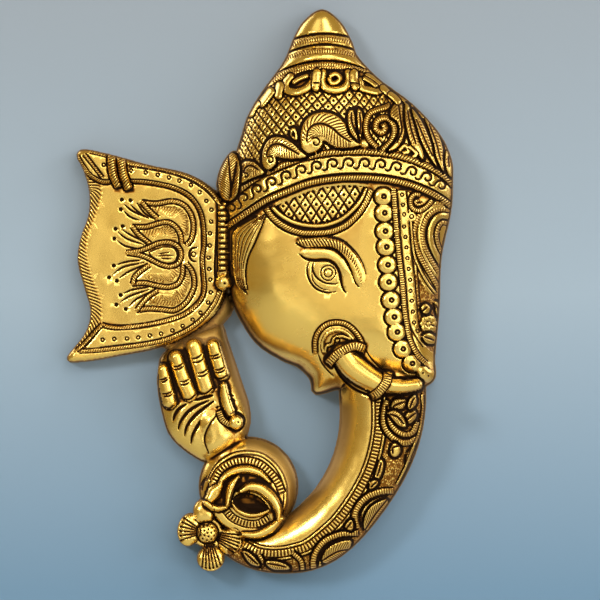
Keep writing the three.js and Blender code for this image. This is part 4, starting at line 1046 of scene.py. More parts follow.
def along(path, run, across):
    """Points of a path's own strip, run along and across to the right, as points of the drawing."""
    steps = np.concatenate([[0], np.cumsum(np.linalg.norm(np.diff(path, axis=0), axis=1))])
    way = headings(path)
    spot = [np.interp(run, steps, values) for values in (path[:, 0], path[:, 1], way[:, 0], way[:, 1])]
    return np.stack([spot[0] + across * spot[3], spot[1] - across * spot[2]], axis=1)


middle = spline(BAND_MIDDLE)
strip_length = 0.5 * (len(middle) - 1)
for start in np.arange(3, strip_length - 5, SCROLL_PITCH):
    groove(along(middle, start + WAVE[:, 0], WAVE[:, 1]), half=0.7, depth=0.9, taper=0.5)

# The dome's lozenges crowd together towards its left edge, as it turns away there.
DOME_NET = [(-12, 103.3), (-2.9, 104.1), (7.9, 104.8), (18.6, 104.8), (30.1, 104.8), (40, 102.5),
    (46.1, 99.5), (51.5, 96.4), (53, 86.5), (51.5, 76.5), (41.5, 73.5), (30.1, 74.6), (18.6, 74.6),
    (7.9, 73.5), (-2.9, 70), (-13.6, 65.8), (-25.1, 58.9), (-30.4, 55.9), (-30.4, 68.9), (-30.4, 76.5),
    (-26.6, 89.5), (-21.2, 97.2)]
DOME_MIDDLE, DOME_RADIUS = (11.3, 99.9), 46.0
at, _ = region(DOME_NET)
px, py = flat_x[at] - DOME_MIDDLE[0], flat_y[at] - DOME_MIDDLE[1]
bent = DOME_RADIUS * np.arcsin(np.clip(px / DOME_RADIUS, -0.99, 0.99))
lattice(at, bent, py + 0.12 * bent - 0.004 * bent * np.abs(bent), width=5.4, height=6.4,
        depth=1.0, hole=0.8, hole_depth=1.0)


def leaf(outline, vein, height, pitch=1.7, lean=0.7, nicks=0.5):
    """A leaf that stands on the ground inside its outline: a rounded edge with a dark line round it, nicks
    that lean from the vein, and the vein itself as a deep cut."""
    closed = spline(outline, 0.8, closed=True)
    at, inner = within(closed)
    wipe(at)
    skin[at] = height * swell(inner / 1.2)
    around_at, across, _ = near(np.vstack([closed, closed[:1]]), 1.8)
    inside = np.isin(around_at, at)
    beside = np.where(inside, -np.abs(across), np.abs(across))
    moat = around_at[~inside & (beside < 1.3)]
    skin[moat] = np.minimum(skin[moat], -1.2)
    ink(around_at, np.maximum(np.abs(beside - 0.6) - 0.3, 0), 0.5)
    vein = spline(vein, 0.4)
    if nicks:
        near_at, across, run = near(vein, 6)
        leafy = np.isin(near_at, at)
        near_at, across, run = near_at[leafy], across[leafy], run[leafy]
        strength = np.clip((np.interp(near_at, at, inner) - 0.4) / 0.4, 0, 1)
        strength *= np.clip((np.abs(across) - 0.5) / 0.4, 0, 1)
        cut_fine(near_at, (run - lean * np.abs(across)) / pitch, strength * 0.95)
    groove(vein[::2], half=0.65, depth=0.9, taper=0.3)


leaf([(7.5, 73.5), (3.3, 72.7), (0.6, 76.5), (0.4, 83.4), (2.5, 89.2), (6.7, 92.6), (12.5, 93.5),
    (18.6, 91.5), (23.5, 86.5), (26.2, 81.9), (29.7, 76.9), (22.4, 75.4), (17, 76.1), (12.8, 78.8),
    (10.9, 78.4), (10.2, 75.4)],
     [(3.3, 78.8), (4, 84.2), (7.1, 87.2), (11.7, 87.6), (16.3, 85.3), (20.1, 81.9), (25.5, 78.4)],
     height=1.8)
leaf([(-15.9, 64.7), (-18.5, 67.3), (-18.8, 72.7), (-17, 78.1), (-13.2, 81.1), (-8.2, 80.7), (-3.2, 77.7),
    (-0.2, 74.6), (3.3, 71.3), (-2.9, 70), (-8.6, 70.4), (-12, 71.2), (-12, 67.3)],
     [(-17, 69.6), (-16.2, 74.2), (-13.6, 77.3), (-9.7, 77.4), (-5.5, 75.4), (-0.6, 72.5)],
     height=1.6, pitch=1.5)
leaf([(-30.3, 58.2), (-30.4, 64.3), (-28.1, 68.9), (-23.5, 68.9), (-20.5, 66.6), (-17.8, 63.1),
    (-23.5, 60.8)],
     [(-28.5, 62), (-27.3, 65.8), (-24.3, 67), (-20.5, 64.7)], height=1.2, pitch=1.3)
for centre, size in (((7.7, 78.4), 3.6), ((-14.9, 69.6), 2.9), ((-27, 62), 2.0)):
    knobs([centre], radius=size, height=2.2, power=4)
    curl = zip(np.linspace(size * 0.75, size * 0.2, 9), np.degrees(np.linspace(2.4, -3.6, 9)))
    groove([toward(centre, reach, turn) for reach, turn in curl], half=0.5, depth=1.2, taper=0.2)
leaf([(29.7, 79.2), (25.5, 82.6), (23.8, 88), (24.1, 93.4), (26.2, 94.7), (27.4, 91.1), (28.9, 85.7)],
     [(25.6, 93.4), (25.8, 88.8), (28.5, 81.9)], height=1.7, pitch=1.3)
leaf([(30.1, 79.6), (28.9, 85.7), (28.4, 91.1), (28.9, 95.3), (30.8, 93.4), (31.4, 88.8), (30.7, 83.4)],
     [(29.7, 93.7), (30.1, 88.8), (29.9, 82.6)], height=1.7, pitch=1.3)
knobs([(32.2, 77.7)], radius=2.5, height=2.4)
cord([(38.1, 76.1), (35, 79.2), (33, 83.4), (33, 88.8), (35, 93), (38.9, 94.9), (42.3, 96), (44.6, 97.2)],
    half=1.35, height=2.2, pitch=1.1, slant=0, ditch=0.8)
cord([(41.2, 74.6), (45, 78.4), (46.9, 83), (46.3, 88), (42.7, 90.7), (38.9, 89.5), (37.7, 85.7),
    (40.4, 83.4), (42.3, 85.3), (41.5, 87.6)], half=1.5, height=2.4, pitch=1.1, slant=0, ditch=0.9)
leaf([(50.1, 99.3), (46.1, 96.4), (45, 91.8), (48.4, 88.8), (49.6, 84.2), (48, 79.6), (43.8, 74.2),
    (48, 75.4), (51.1, 80), (52.2, 85.7), (52.1, 91.8)],
     [(49.2, 97.2), (50.1, 90.3), (50.7, 84.2), (48, 78.1)], height=2.0, pitch=1.6, nicks=0.4)
leaf([(52.6, 98), (52.4, 90.3), (53.8, 82.6), (56.1, 76.5), (60.7, 70), (61.6, 72.7), (59.1, 81.1),
    (56.8, 88.8), (54.7, 96.4)],
     [(53.6, 94.9), (55.3, 85.7), (58, 77.3)], height=1.8, nicks=0.3)
leaf([(55.7, 95.3), (58, 87.2), (60.3, 79.6), (63.7, 72.7), (68.3, 66.2), (67.9, 71.9), (65.3, 78.8),
    (61.4, 88), (58, 93.4)],
     [(58, 90.3), (61.8, 81.1), (66, 71.9)], height=1.8, nicks=0.3)
leaf([(62.2, 91.1), (64.5, 84.9), (66.8, 77.3), (68.3, 70.4), (71.4, 64.3), (72.1, 69.6), (71, 77.3),
    (68.3, 84.9), (65.3, 89.5)],
     [(64.5, 88), (67.9, 78.8), (70.2, 69.6)], height=1.8, nicks=0.3)
leaf([(72.9, 74.6), (72.5, 68.9), (74.1, 62.8), (76, 62), (76.1, 68.1), (74.8, 72.7)],
     [(74.1, 71.9), (74.6, 65.8)], height=1.2, nicks=0.3)
for points in ([(49.6, 74.6), (52.2, 76.9), (54.2, 74.2), (51.5, 73.1)], [(54.5, 76.5), (58, 72.7),
    (56.1, 71.2)]):
    ridge(points, half=0.9, height=1.4, ditch=0.5)
leaf([(-4.8, 84.9), (-2.1, 85.3), (-1.3, 79.6), (-4.4, 81.1)],
     [(-3.6, 84.2), (-2.5, 80.7)], height=1.3, nicks=0.0)
holes([(-3.5, 82.3)], radius=0.9, depth=1.2)

# The tiers: each ring sags towards both ends, as the cone turns away.
CONE_MIDDLE = 11.2
TIERS = [  # height of its middle, half length, sag, half width, rise, nick pitch
    (133.0, 10.5, 1.6, 0.75, -2.0, 0), (130.3, 12.5, 2.2, 1.35, 1.4, 1.25), (127.6, 13.5, 3.0, 0.7, -1.8, 0),
    (124.2, 16.0, 3.6, 1.4, 1.4, 1.25), (121.6, 17.5, 4.2, 1.9, 2.4, 0), (119.4, 18.0, 4.6, 0.6, -1.6, 0),
    (117.6, 20.0, 5.4, 1.1, 1.2, 1.25), (115.6, 21.0, 6.0, 0.9, 1.0, 1.25), (114.2, 22.0, 6.6, 0.5, -1.0, 0),
]
for middle_y, half_length, sag, half, rise, pitch in TIERS:
    span = np.linspace(-half_length - 4, half_length + 4, 40)
    drop = 0.7 * sag * (span / half_length) ** 2
    path = np.stack([CONE_MIDDLE + span, middle_y + 0.03 * span - drop], axis=1)
    if rise < 0:
        groove(path[::3], half=half, depth=-rise, taper=0.1)
        continue
    at, across, run = near(spline(path), half)
    fade = smooth(DRAFT, DRAFT + 2, head_depth.reshape(-1)[at])
    lift(at, rise * fade * arch(across / half))
    if pitch:
        cut_fine(at, run / pitch, np.minimum(band(across, half, 0.4), 0.9))

# The collar: open scrolls with short studs between them, all smooth and round.
SCROLLS = [
    ([(-4.8, 111.4), (-7.1, 108.3), (-6.5, 104.8), (-2.1, 103.7), (2.5, 105.2), (6.3, 108.7),
        (7.1, 112.5)], 1.9),
    ([(-2.9, 108.7), (-0.6, 110.2), (3.3, 111.7)], 1.2),
    ([(11.5, 113.3), (10.9, 109.4), (12.6, 106), (17.4, 104.7), (22.2, 106), (24.3, 109.4),
        (24.1, 113.3)], 1.9),
    ([(14.7, 110.2), (15.9, 108.1), (18.6, 108.7), (20, 111), (17.8, 112.7), (15.5, 111.9)], 1.2),
    ([(30.1, 109.4), (30.8, 106), (34.3, 104.8), (38.5, 104.1), (40.8, 106), (38.1, 109.4),
        (33.9, 111.7)], 1.8),
    ([(32.4, 110.6), (35, 109.1), (37.7, 107.1)], 1.1),
    ([(8.5, 113.3), (8, 109.4), (7.9, 106)], 2.1),
    ([(27, 113.3), (27.1, 109.4), (27.6, 106.4)], 2.0),
    ([(-10.1, 107.1), (-10.5, 104.1), (-10.7, 102.2)], 2.1),
    ([(-14.7, 104.1), (-17, 101), (-19.3, 98.3)], 2.2),
    ([(-21.6, 98), (-23.5, 95.7), (-24.7, 93)], 1.8),
    ([(41.5, 106), (43.4, 104.1), (44.2, 103.2)], 1.7),
    ([(45.4, 102.5), (47.3, 101), (48.8, 99.3)], 1.7),
]
COLLAR = [(-12, 104.1), (-7.4, 109.4), (1, 114), (10.9, 115.2), (24.7, 115.2), (33.9, 113.3), (42.3, 107.1),
    (46.1, 101), (40.8, 104.1), (30.1, 104.8), (18.6, 104.8), (7.9, 104.5), (-2.1, 102.9), (-9.7, 101)]
at, _ = region(COLLAR)
skin[at] = -0.4
for points, half in SCROLLS:
    coil(points, half, height=2.8)
for points in ([(6.5, 108.3), (9.4, 108.3)], [(25.5, 108.3), (28.9, 108.1)]):
    groove(points, half=0.5, depth=0.8, taper=0.2)


# Right of the beads the head turns away. A drop of nested cords fills the space under the band, with a hooked
# scroll and a ring beside it, and a budding flower stands on punched ground below.
PAISLEY_CORDS = [
    [(71.4, 48.2), (66, 47.8), (61.2, 44.6), (58.4, 39.7), (56.8, 33.4), (57.9, 26.3), (61, 19.5),
     (65.4, 12.3), (69.1, 6.2)],
    [(73.4, 45), (68.3, 45), (63.8, 41.6), (61.6, 36.2), (61.2, 30.8), (62.7, 25.4), (65.7, 19.5),
     (69.7, 13.3)],
    [(74, 38.3), (70.8, 38.5), (68.7, 35.6), (68.3, 30.8), (69.3, 26.7), (71.1, 23.2)],
]
for points, half in zip(PAISLEY_CORDS, (1.2, 1.1, 0.95)):
    cord(points, half=half, height=1.4, pitch=1.3, slant=0.2, ditch=0.7, ditch_half=0.4)
ridge([(72.1, 46.6), (67, 46.4), (62.5, 43.6), (60.2, 38.5), (59.3, 32.7), (60.6, 25.7), (63.6, 19),
    (67.9, 12.3)], half=0.7, height=1.1)
ridge([(74.3, 41.8), (70.2, 42), (66.8, 39.1), (65.1, 34.3), (65.4, 28.9), (67.4, 23.8), (70.4, 18.7)],
    half=1.5, height=1.7, ditch=0.7)
cord([(59.6, 52.5), (56.8, 52.5), (55.1, 49.6), (55.8, 46.1), (59, 44.5), (62.5, 46.1), (66, 49.6)],
    half=1.1, height=1.4, pitch=1.05, slant=0, ditch=0.7)
cord([(59, 49.6), (57.4, 49), (58.4, 47.4), (60.9, 48)], half=0.7, height=1.0, pitch=1.0, slant=0, ditch=0.4)
knobs([(55.6, 41.5)], radius=2.5, height=1.4, power=3)
ring_marks([(55.6, 41.5)], radius=1.0, depth=0.8)
ridge([(55.2, 38.8), (55.8, 31.1), (56.8, 23.5), (59.6, 15.8), (63.5, 8.8), (67.9, 3.1)],
    half=0.6, height=0.8, ditch=0.5)

SIDE_GROUND = [(57.2, 13), (60.6, 9.2), (63, 4.9), (66.8, 2.5), (70.6, 4.9), (70.6, -5.6), (69.2, -16.1),
    (67.8, -25.7), (64.9, -25.2), (61.1, -20.5), (59.1, -15.7), (58.4, -8.5), (57.9, 1.1), (56.7, 8.3)]
at, inner = region(SIDE_GROUND)
skin[at] -= 0.9 * smooth(0, 0.8, inner)
punched[at] = 1
BLOSSOM = (64.2, -11.8)
for turn in range(0, 360, 45):
    knobs([toward(BLOSSOM, 2.9, turn)], radius=1.7, height=2.2, power=2.6)
    groove([toward(BLOSSOM, reach, turn + 22.5) for reach in (1.2, 2.8, 4.4)],
           half=0.45, depth=1.2, taper=0.2)
knobs([BLOSSOM], radius=1.2, height=2.2)
leaf([(61.1, -18.1), (63.9, -16.4), (66.8, -17.6), (68.7, -20.5), (65.8, -22.1), (62.7, -21.2)],
     [(62, -18.3), (64.9, -19.3), (67.5, -20.5)], height=1.6, nicks=0.0)
leaf([(67.3, -0.8), (69.2, -1.8), (70.6, -5.6), (69.7, -9.4), (68, -6.6)],
     [(67.8, -2.3), (68.9, -4.7), (69.4, -8)], height=1.6, nicks=0.0)
leaf([(60.3, -3.7), (62.5, -1.8), (64.9, -3.7), (63.9, -6.6), (61.5, -6.6)],
     [(61.1, -5.6), (62.5, -4.2), (63.9, -3.2)], height=1.6, nicks=0.0)

# A pointed leaf stands at the left end of the band, over the rod.
leaf([(-36.9, 73.2), (-39.4, 67.8), (-41.5, 59.5), (-39.4, 51.8), (-35.8, 49.3), (-33.4, 50.2), (-31.3, 53.1),
    (-30.4, 58.2), (-30.1, 65.9), (-31.1, 71.3), (-33.4, 73.5), (-35.3, 74)],
     [(-35.8, 72.9), (-35.3, 65.2), (-34.5, 57.6), (-34.3, 50.9)], height=1.5, pitch=1.3, lean=-0.8)


# The trunk's inner half is smooth, with an unpolished inner side. A ladder of cuts runs down its middle, and
# outside it nested arches, leaves and punched ground cover the rest.
raw_side = 0.85 * (1 - smooth(-0.86, -0.58, trunk_share)) * (trunk_depth > 0) * (head_depth < 0)
raw_side *= smooth(2, 8, trunk_angle) * (1 - smooth(76, 86, trunk_angle))
matte = np.maximum(matte, raw_side.reshape(-1))
TRUNK_LADDER = [(39.2, -48.4), (39.4, -56.1), (39.2, -64.9), (38, -72.9), (36.1, -80.3), (33, -88.3),
    (28.7, -96.4), (23.6, -104.1), (17.7, -111.5), (11.3, -117.3)]
LADDER_END = [(5, -122.2), (0.1, -124.5), (-10.3, -126.6), (-20.3, -125.9), (-27.7, -122.3)]
ladder_path = TRUNK_LADDER + LADDER_END
outer_ground = (cover > DRAFT) & (trunk_depth > DRAFT)
ladder_line = spline(ladder_path, 0.8)
ladder_angle, ladder_reach = round_trunk(*ladder_line.T)
order = np.argsort(ladder_angle)
past_ladder = trunk_reach - np.interp(trunk_angle, ladder_angle[order], ladder_reach[order])
carved = (outer_ground & (past_ladder > 2.2) & (head_depth < DRAFT) & (trunk_angle < 100)).reshape(-1)
skin[carved] -= 0.7 * smooth(2.2, 3.4, past_ladder.reshape(-1)[carved])
# The carved ground is browned: partly patina in the punched ground, partly painted shade where the trunk turns
# away.
stain_and_shade[carved] = 0.2
punched[carved] = 1
ladder(ladder_path, half=1.75, height=1.3, pitch=1.75, depth=0.9, ditch=0.8)
for offset in (-2.75, 2.75):
    path = spline(ladder_path)
    way = headings(path)
    ridge((path + offset * np.stack([way[:, 1], -way[:, 0]], axis=1))[::8], half=0.55, height=0.9, ditch=0.4)


def clear(points, half):
    """Levels a strip for what stands on it."""
    at, _, _ = near(spline(points), half)
    skin[at] = np.minimum(skin[at], -0.6)


ARCHES = [
    ([(43, -50.2), (41.9, -56.1), (41.9, -61.9), (44.1, -66.3), (48.2, -70), (52.9, -71.3), (57.3, -69.3),
        (60.1, -63.4), (62.1, -54.6), (62.5, -46.5)], 1.5, True),
    ([(45.1, -53.1), (44.7, -59), (46, -63), (49.3, -66), (53.3, -67.2), (56.6, -65.6),
        (58.4, -61.2)], 1.3, True),
    ([(28.4, -113.7), (27.3, -107.8), (29.5, -102.3), (34.2, -97.9), (39.7, -95.8),
        (46.3, -95.3)], 1.5, True),
    ([(31.1, -111.8), (31.7, -105.9), (35.3, -101.5), (40.1, -99.3), (44, -98.6)], 0.7, False),
    ([(10, -125.8), (13, -121), (18.5, -117.3), (24.3, -116.1), (28.7, -116.6)], 1.4, True),
    ([(6.7, -135), (7.1, -128), (11.7, -120.9), (19.5, -117.2), (28.7, -116.4)], 1.4, True),
    ([(10, -133), (10.8, -127.2), (14.6, -123), (20.4, -120.1), (26.2, -119.5)], 0.7, False),
    ([(-3.7, -126.3), (0.5, -130.5), (1.3, -136.3)], 1.1, True),
    ([(-20.3, -127.6), (-18.6, -131.3), (-20.3, -134.6)], 0.9, True),
]
for points, half, twisted in ARCHES:
    clear(points, half + 1.2)
    if twisted:
        cord(points, half=half, height=1.4, pitch=1.25, slant=0, ditch=0.8)
    else:
        ridge(points, half=half, height=1.2, ditch=0.5)
MEDALLIONS = [[(32.4, -115.1), (32, -109.6), (34.6, -104.1), (39, -100.8), (43.6, -99.7), (43, -104.8),
    (39.7, -109.6), (36.1, -114)],
              [(10.8, -130.5), (12.9, -125.1), (18.3, -121.3), (25.3, -120.1), (24.5, -124.7), (20.4, -128.8),
               (15.4, -131.7)]]
for outline in MEDALLIONS:
    leaf(outline, outline[0:1] + [tuple(np.mean(outline, axis=0))] + outline[4:5], height=1.2, pitch=1.2)
leaf([(46.3, -50.2), (49.3, -49.1), (52.9, -50.2), (51.5, -53.9), (47.8, -54.6), (45.6, -53.5)],
     [(46.3, -53.1), (49.3, -51.7), (52.6, -50.6)], height=1.5, pitch=1.0)
leaf([(51.5, -59.7), (53.7, -56.1), (57, -55), (58.2, -57.5), (56.6, -60.5), (53.7, -61.9)],
     [(52.6, -60.5), (55.1, -58.3), (57.7, -56.4)], height=1.8, pitch=0.9)
leaf([(44.1, -56.1), (47.1, -55), (50, -56.8), (52.2, -59.7), (52.9, -63.4), (49.3, -62.7), (46.3, -59.7)],
     [(44.9, -56.8), (48.5, -58.3), (51.8, -61.9)], height=1.5, pitch=1.0)
leaf([(54.4, -49.5), (57.3, -47.3), (58.1, -51.7), (55.1, -54.6), (53.7, -53.1)],
     [(54.8, -53.9), (55.9, -50.9), (57.3, -48.4)], height=1.4, pitch=1.0)
leaf([(46.3, -71.5), (48.5, -71.8), (50.2, -74.4), (49.3, -77.3), (46.7, -78.4), (44.9, -75.9)],
     [(48.9, -72.9), (46.3, -73.7), (46.3, -76.6)], height=1.8, nicks=0)
leaf([(39.9, -79.5), (41.6, -81), (41.1, -85.4), (39.4, -89.1), (37.2, -89.1), (38.3, -83.9)],
     [(40.5, -81), (39.4, -85.4), (38.3, -88.3)], height=1.5, nicks=0.3)
leaf([(35, -90.9), (37.5, -89.8), (39, -91.3), (36.8, -93.8), (34.6, -94.2)],
     [(35.3, -93.5), (37.2, -91.6), (38.3, -90.9)], height=1.3, nicks=0.3)
leaf([(53.7, -76.6), (56.6, -72.9), (57.3, -75.9), (55.1, -81), (52.9, -81)],
     [(53.7, -79.9), (55.5, -76.6), (56.8, -74)], height=1.4, nicks=0.4)
leaf([(22.5, -112.6), (25.1, -109.6), (26.5, -111.1), (26.2, -114.8), (23.2, -114.4)],
     [(23.2, -114), (24.7, -112.2), (25.8, -110.3)], height=1.4, nicks=0.3)
leaf([(-28.5, -125.5), (-25.2, -126.3), (-21.1, -130.5), (-20.3, -133), (-24.4, -132.1), (-27.3, -128.8)],
     [(-27.7, -126.3), (-24.4, -129.2), (-21.1, -132.1)], height=1.3, pitch=1.2)
leaf([(-16.9, -130.5), (-12, -130.5), (-7, -132.1), (-5.3, -134.6), (-12, -135), (-16.1, -133)],
     [(-16.1, -131.7), (-11.1, -132.5), (-6.2, -133.8)], height=1.3, pitch=1.2)
for points in ([(61, -47.3), (61.4, -56.1), (59.5, -66.3), (56.6, -73.7), (52.9, -83.2), (48.5, -92)],
    [(59.5, -73.7), (57.3, -81), (53.7, -88.3)], [(17.9, -133), (11.2, -135), (3, -135.9), (-5.3, -136.7)]):
    ridge(points, half=0.6, height=1.0, ditch=0.5)


# The hollow behind: each large form is open to the wall behind, with an even wall of metal.
METAL = 4.0
hollow = np.zeros_like(base)
HOLLOWS = [(head_depth, head_level), (ear_depth, ear_level), (hand_depth, base), (forearm_depth, base),
           (np.minimum(trunk_depth, (86 - trunk_angle) * 1.4), trunk_level)]
for depth, level in HOLLOWS:
    hollow = np.maximum(hollow, np.where(depth > METAL, np.maximum(level - METAL, 1), 0))


# The skin of the casting: a net of triangles over the front, fine where the carving is fine, closed by
# leaning sides, a flat rim and the hollow behind.
def crossings(field, level, every=2):
    """Where a field crosses a level, on every second grid line: the crossing points by straight interpolation
    along the grid's sides, and the pairs of them that each square joins, by marching squares."""
    cell = STEP * every
    f = field[::every, ::every] - level
    nudge = 0.15 * cell
    f = np.where(np.abs(f) < nudge, np.where(f < 0, -nudge, nudge), f)
    gx, gy = x[::every, ::every], y[::every, ::every]
    flat = (f[:, :-1] < 0) != (f[:, 1:] < 0)
    upright = (f[:-1] < 0) != (f[1:] < 0)
    t = f[:, :-1] / np.where(flat, f[:, :-1] - f[:, 1:], 1)
    s = f[:-1] / np.where(upright, f[:-1] - f[1:], 1)
    points = np.vstack([np.stack([(gx[:, :-1] + t * cell)[flat], gy[:, :-1][flat]], axis=1),
                        np.stack([gx[:-1][upright], (gy[:-1] + s * cell)[upright]], axis=1)])
    flat_id = np.cumsum(flat.ravel()).reshape(flat.shape) - 1
    upright_id = flat.sum() + np.cumsum(upright.ravel()).reshape(upright.shape) - 1
    sides = np.stack([np.where(flat[:-1], flat_id[:-1], -1), np.where(upright[:, 1:], upright_id[:, 1:], -1),
                      np.where(flat[1:], flat_id[1:], -1), np.where(upright[:, :-1], upright_id[:, :-1], -1)])
    sides = sides.reshape(4, -1).T
    crossed = (sides >= 0).sum(axis=1)
    pairs = np.sort(sides[crossed == 2], axis=1)[:, 2:]
    saddles = sides[crossed == 4]
    middle_in = (f[:-1, :-1] + f[1:, 1:] + f[:-1, 1:] + f[1:, :-1]).ravel()[crossed == 4] > 0
    corner_in = (f[:-1, :-1] > 0).ravel()[crossed == 4]
    joined = middle_in == corner_in
    first = np.where(joined[:, None], saddles[:, [0, 1]], saddles[:, [0, 3]])
    second = np.where(joined[:, None], saddles[:, [2, 3]], saddles[:, [1, 2]])
    return points, np.vstack([pairs, first, second])


def sampled(field, points):
    """A field's value at points between the grid's, by straight interpolation both ways."""
    u, v = (points[:, 0] - LEFT) / STEP, (points[:, 1] - BOTTOM) / STEP
    i, j = v.astype(int), u.astype(int)
    a, b = v - i, u - j
    return ((1 - a) * ((1 - b) * field[i, j] + b * field[i, j + 1])
            + a * ((1 - b) * field[i + 1, j] + b * field[i + 1, j + 1]))


def chosen(field, wanted, budget, coarsest=8):
    """The grid points that a surface needs. At each step, a point between two or four points of the next
    coarser step is kept where it lies further from their mean than a tolerance, or where a finer point beside
    it is kept. The tolerance is halved in until as many points are kept as the budget allows."""
    misses = {}
    step = 1
    while step < coarsest:
        f = field[::step, ::step]
        miss = np.zeros_like(f)
        miss[:, 1:-1:2] = np.abs(f[:, 1:-1:2] - (f[:, :-2:2] + f[:, 2::2]) / 2)
        miss[1:-1:2, ::2] = np.abs(f[1:-1:2, ::2] - (f[:-2:2, ::2] + f[2::2, ::2]) / 2)
        corners = f[:-2:2, :-2:2] + f[2::2, 2::2] + f[:-2:2, 2::2] + f[2::2, :-2:2]
        miss[1:-1:2, 1:-1:2] = np.abs(f[1:-1:2, 1:-1:2] - corners / 4)
        misses[step] = miss
        step *= 2

    def kept(tolerance):
        keep = np.zeros(field.shape, bool)
        step = 1
        while step < coarsest:
            fine = misses[step] > tolerance
            fine |= keep[::step, ::step]
            keep[::step, ::step] |= fine
            spread = fine.copy()
            spread[1:] |= fine[:-1]
            spread[:-1] |= fine[1:]
            spread[:, 1:] |= spread[:, :-1].copy()
            spread[:, :-1] |= spread[:, 1:].copy()
            keep[::2 * step, ::2 * step] |= spread[::2, ::2]
            step *= 2
        keep[::coarsest, ::coarsest] = True
        return keep & wanted

    low, high = 0.0, 2.0
    for _ in range(12):
        middle = (low + high) / 2
        if kept(middle).sum() > budget:
            low = middle
        else:
            high = middle
    return kept(high)


def net(points, edges, foot, foot_edges):
    """Triangles between points that keep to the given edges, counterclockwise. Those whose corners all lie on
    the foot are kept only where their middle is inside it: a ray to the right from there crosses it an odd
    number of times."""
    made = delaunay_2d_cdt([Vector(p) for p in points.tolist()], edges.tolist(), [], 0, 1e-5, True)
    triangles = np.array([group[0] for group in made[3]])[np.array(made[2])]
    unsure = np.flatnonzero((triangles < len(foot)).all(axis=1))
    px, py = points[triangles[unsure]].mean(axis=1).T[:, :, None]
    (ax, ay), (bx, by) = foot[foot_edges[:, 0]].T, foot[foot_edges[:, 1]].T
    crossed = ((ay > py) != (by > py)) & (px < (bx - ax) * (py - ay) / np.where(by == ay, 1, by - ay) + ax)
    return np.delete(triangles, unsure[crossed.sum(axis=1) % 2 == 0], axis=0)


front = base + relief
FRONT_POINTS, BACK_POINTS = 84000, 6000
BAR_HEIGHT, BAR_THICKNESS, BAR_LEFT, BAR_RIGHT = 9.0, 5.0, -21.0, 55.5
BAR_SIDES = np.array([(0, 1, 3), (0, 3, 2), (4, 6, 7), (4, 7, 5), (0, 4, 5), (0, 5, 1),
                      (2, 3, 7), (2, 7, 6), (0, 2, 6), (0, 6, 4), (1, 5, 7), (1, 7, 3)])


def casting():
    """The front's height and the hollow's height are each a surface over the same outline, which they share.
    Where both have a flat triangle on the wall between the same three points, neither is needed. The bar that
    the mask hangs by is a block across the hollow, set into the walls at both ends."""
    foot, foot_edges = crossings(cover, 0)
    brim, brim_edges = crossings(cover, DRAFT)
    lines = np.clip(line, 0, 2).reshape(x.shape)
    keep = chosen(front + 0.12 * lines + 0.1 * cut_depth.reshape(x.shape), cover > DRAFT + 0.3, FRONT_POINTS)
    front_points = np.vstack([foot, brim, np.stack([x[keep], y[keep]], axis=1)])
    front_heights = np.concatenate([np.zeros(len(foot)), sampled(front, brim), front[keep]])
    front_net = net(front_points, np.vstack([foot_edges, brim_edges + len(foot)]), foot, foot_edges)

    rim, rim_edges = crossings(hollow, 0.5)
    keep = chosen(hollow, hollow > 1, BACK_POINTS, coarsest=16)
    back_points = np.vstack([foot, rim, np.stack([x[keep], y[keep]], axis=1)])
    back_heights = np.concatenate([np.zeros(len(foot) + len(rim)), hollow[keep]])
    back_net = net(back_points, np.vstack([foot_edges, rim_edges + len(foot)]), foot, foot_edges)
    back_net = np.where(back_net >= len(foot), back_net + len(front_points) - len(foot), back_net)

    triangles = np.vstack([front_net, back_net[:, ::-1]])
    _, same, count = np.unique(np.sort(triangles, axis=1), axis=0, return_inverse=True, return_counts=True)
    triangles = triangles[count[same.reshape(-1)] == 1]
    ends = np.array([(px, HANGER_Y + py, z) for px in (BAR_LEFT, BAR_RIGHT)
                     for py in (-BAR_HEIGHT / 2, BAR_HEIGHT / 2) for z in (0, BAR_THICKNESS)])
    points = np.vstack([front_points, back_points[len(foot):], ends[:, :2]])
    heights = np.concatenate([front_heights, back_heights[len(foot):], ends[:, 2]])
    triangles = np.vstack([triangles, BAR_SIDES + len(points) - len(ends)])
    return points, heights, triangles, len(front_points)


def blurred(field, spread):
    """The mean of a field round each place over the mask alone, weighted by a bell curve of the given spread:
    both the field and the mask's own shape are multiplied by the curve in their frequencies, and divided."""
    bell = np.exp(-2 * (np.pi * spread) ** 2 * (np.fft.fftfreq(ROWS, STEP)[:, None] ** 2
                                                + np.fft.rfftfreq(COLUMNS, STEP) ** 2))
    shape = (cover > DRAFT).astype(float)
    total = np.fft.irfft2(np.fft.rfft2(field * shape) * bell, field.shape)
    weight = np.fft.irfft2(np.fft.rfft2(shape) * bell, field.shape)
    return total / np.maximum(weight, 0.05)


points, heights, triangles, front_count = casting()
positions = np.stack([(points[:, 0] - HANGER_X) * MM, -heights * MM, (points[:, 1] - HANGER_Y) * MM], axis=1)
mesh = bpy.data.meshes.new("mask")
mesh.from_pydata(positions.tolist(), [], triangles.tolist())
mesh.polygons.foreach_set("use_smooth", np.arange(len(triangles)) < len(triangles) - len(BAR_SIDES))
mask = bpy.data.objects.new("mask", mesh)
bpy.context.scene.collection.objects.link(mask)


# Brown has settled wherever the brass lies lower than what is round it, and is polished off all that stands
# proud. Painted shade on the face, in the curl's bowl and on the trunk's carved ground is added to it. The
# sides and the hollow were never polished.
inland = 0.1 + 0.9 * smooth(DRAFT + 0.3, DRAFT + 3, cover)
beside, round_about = blurred(front, 0.8) - front, blurred(front, 2.2) - front
sunken = inland * (2.0 * beside + np.clip(0.8 * round_about, -0.2, 0.26))
is_back = np.arange(len(points)) >= front_count


def noted(values):
    """What was noted for each place of the grid, at the mesh's points."""
    return sampled(values.reshape(x.shape), points)


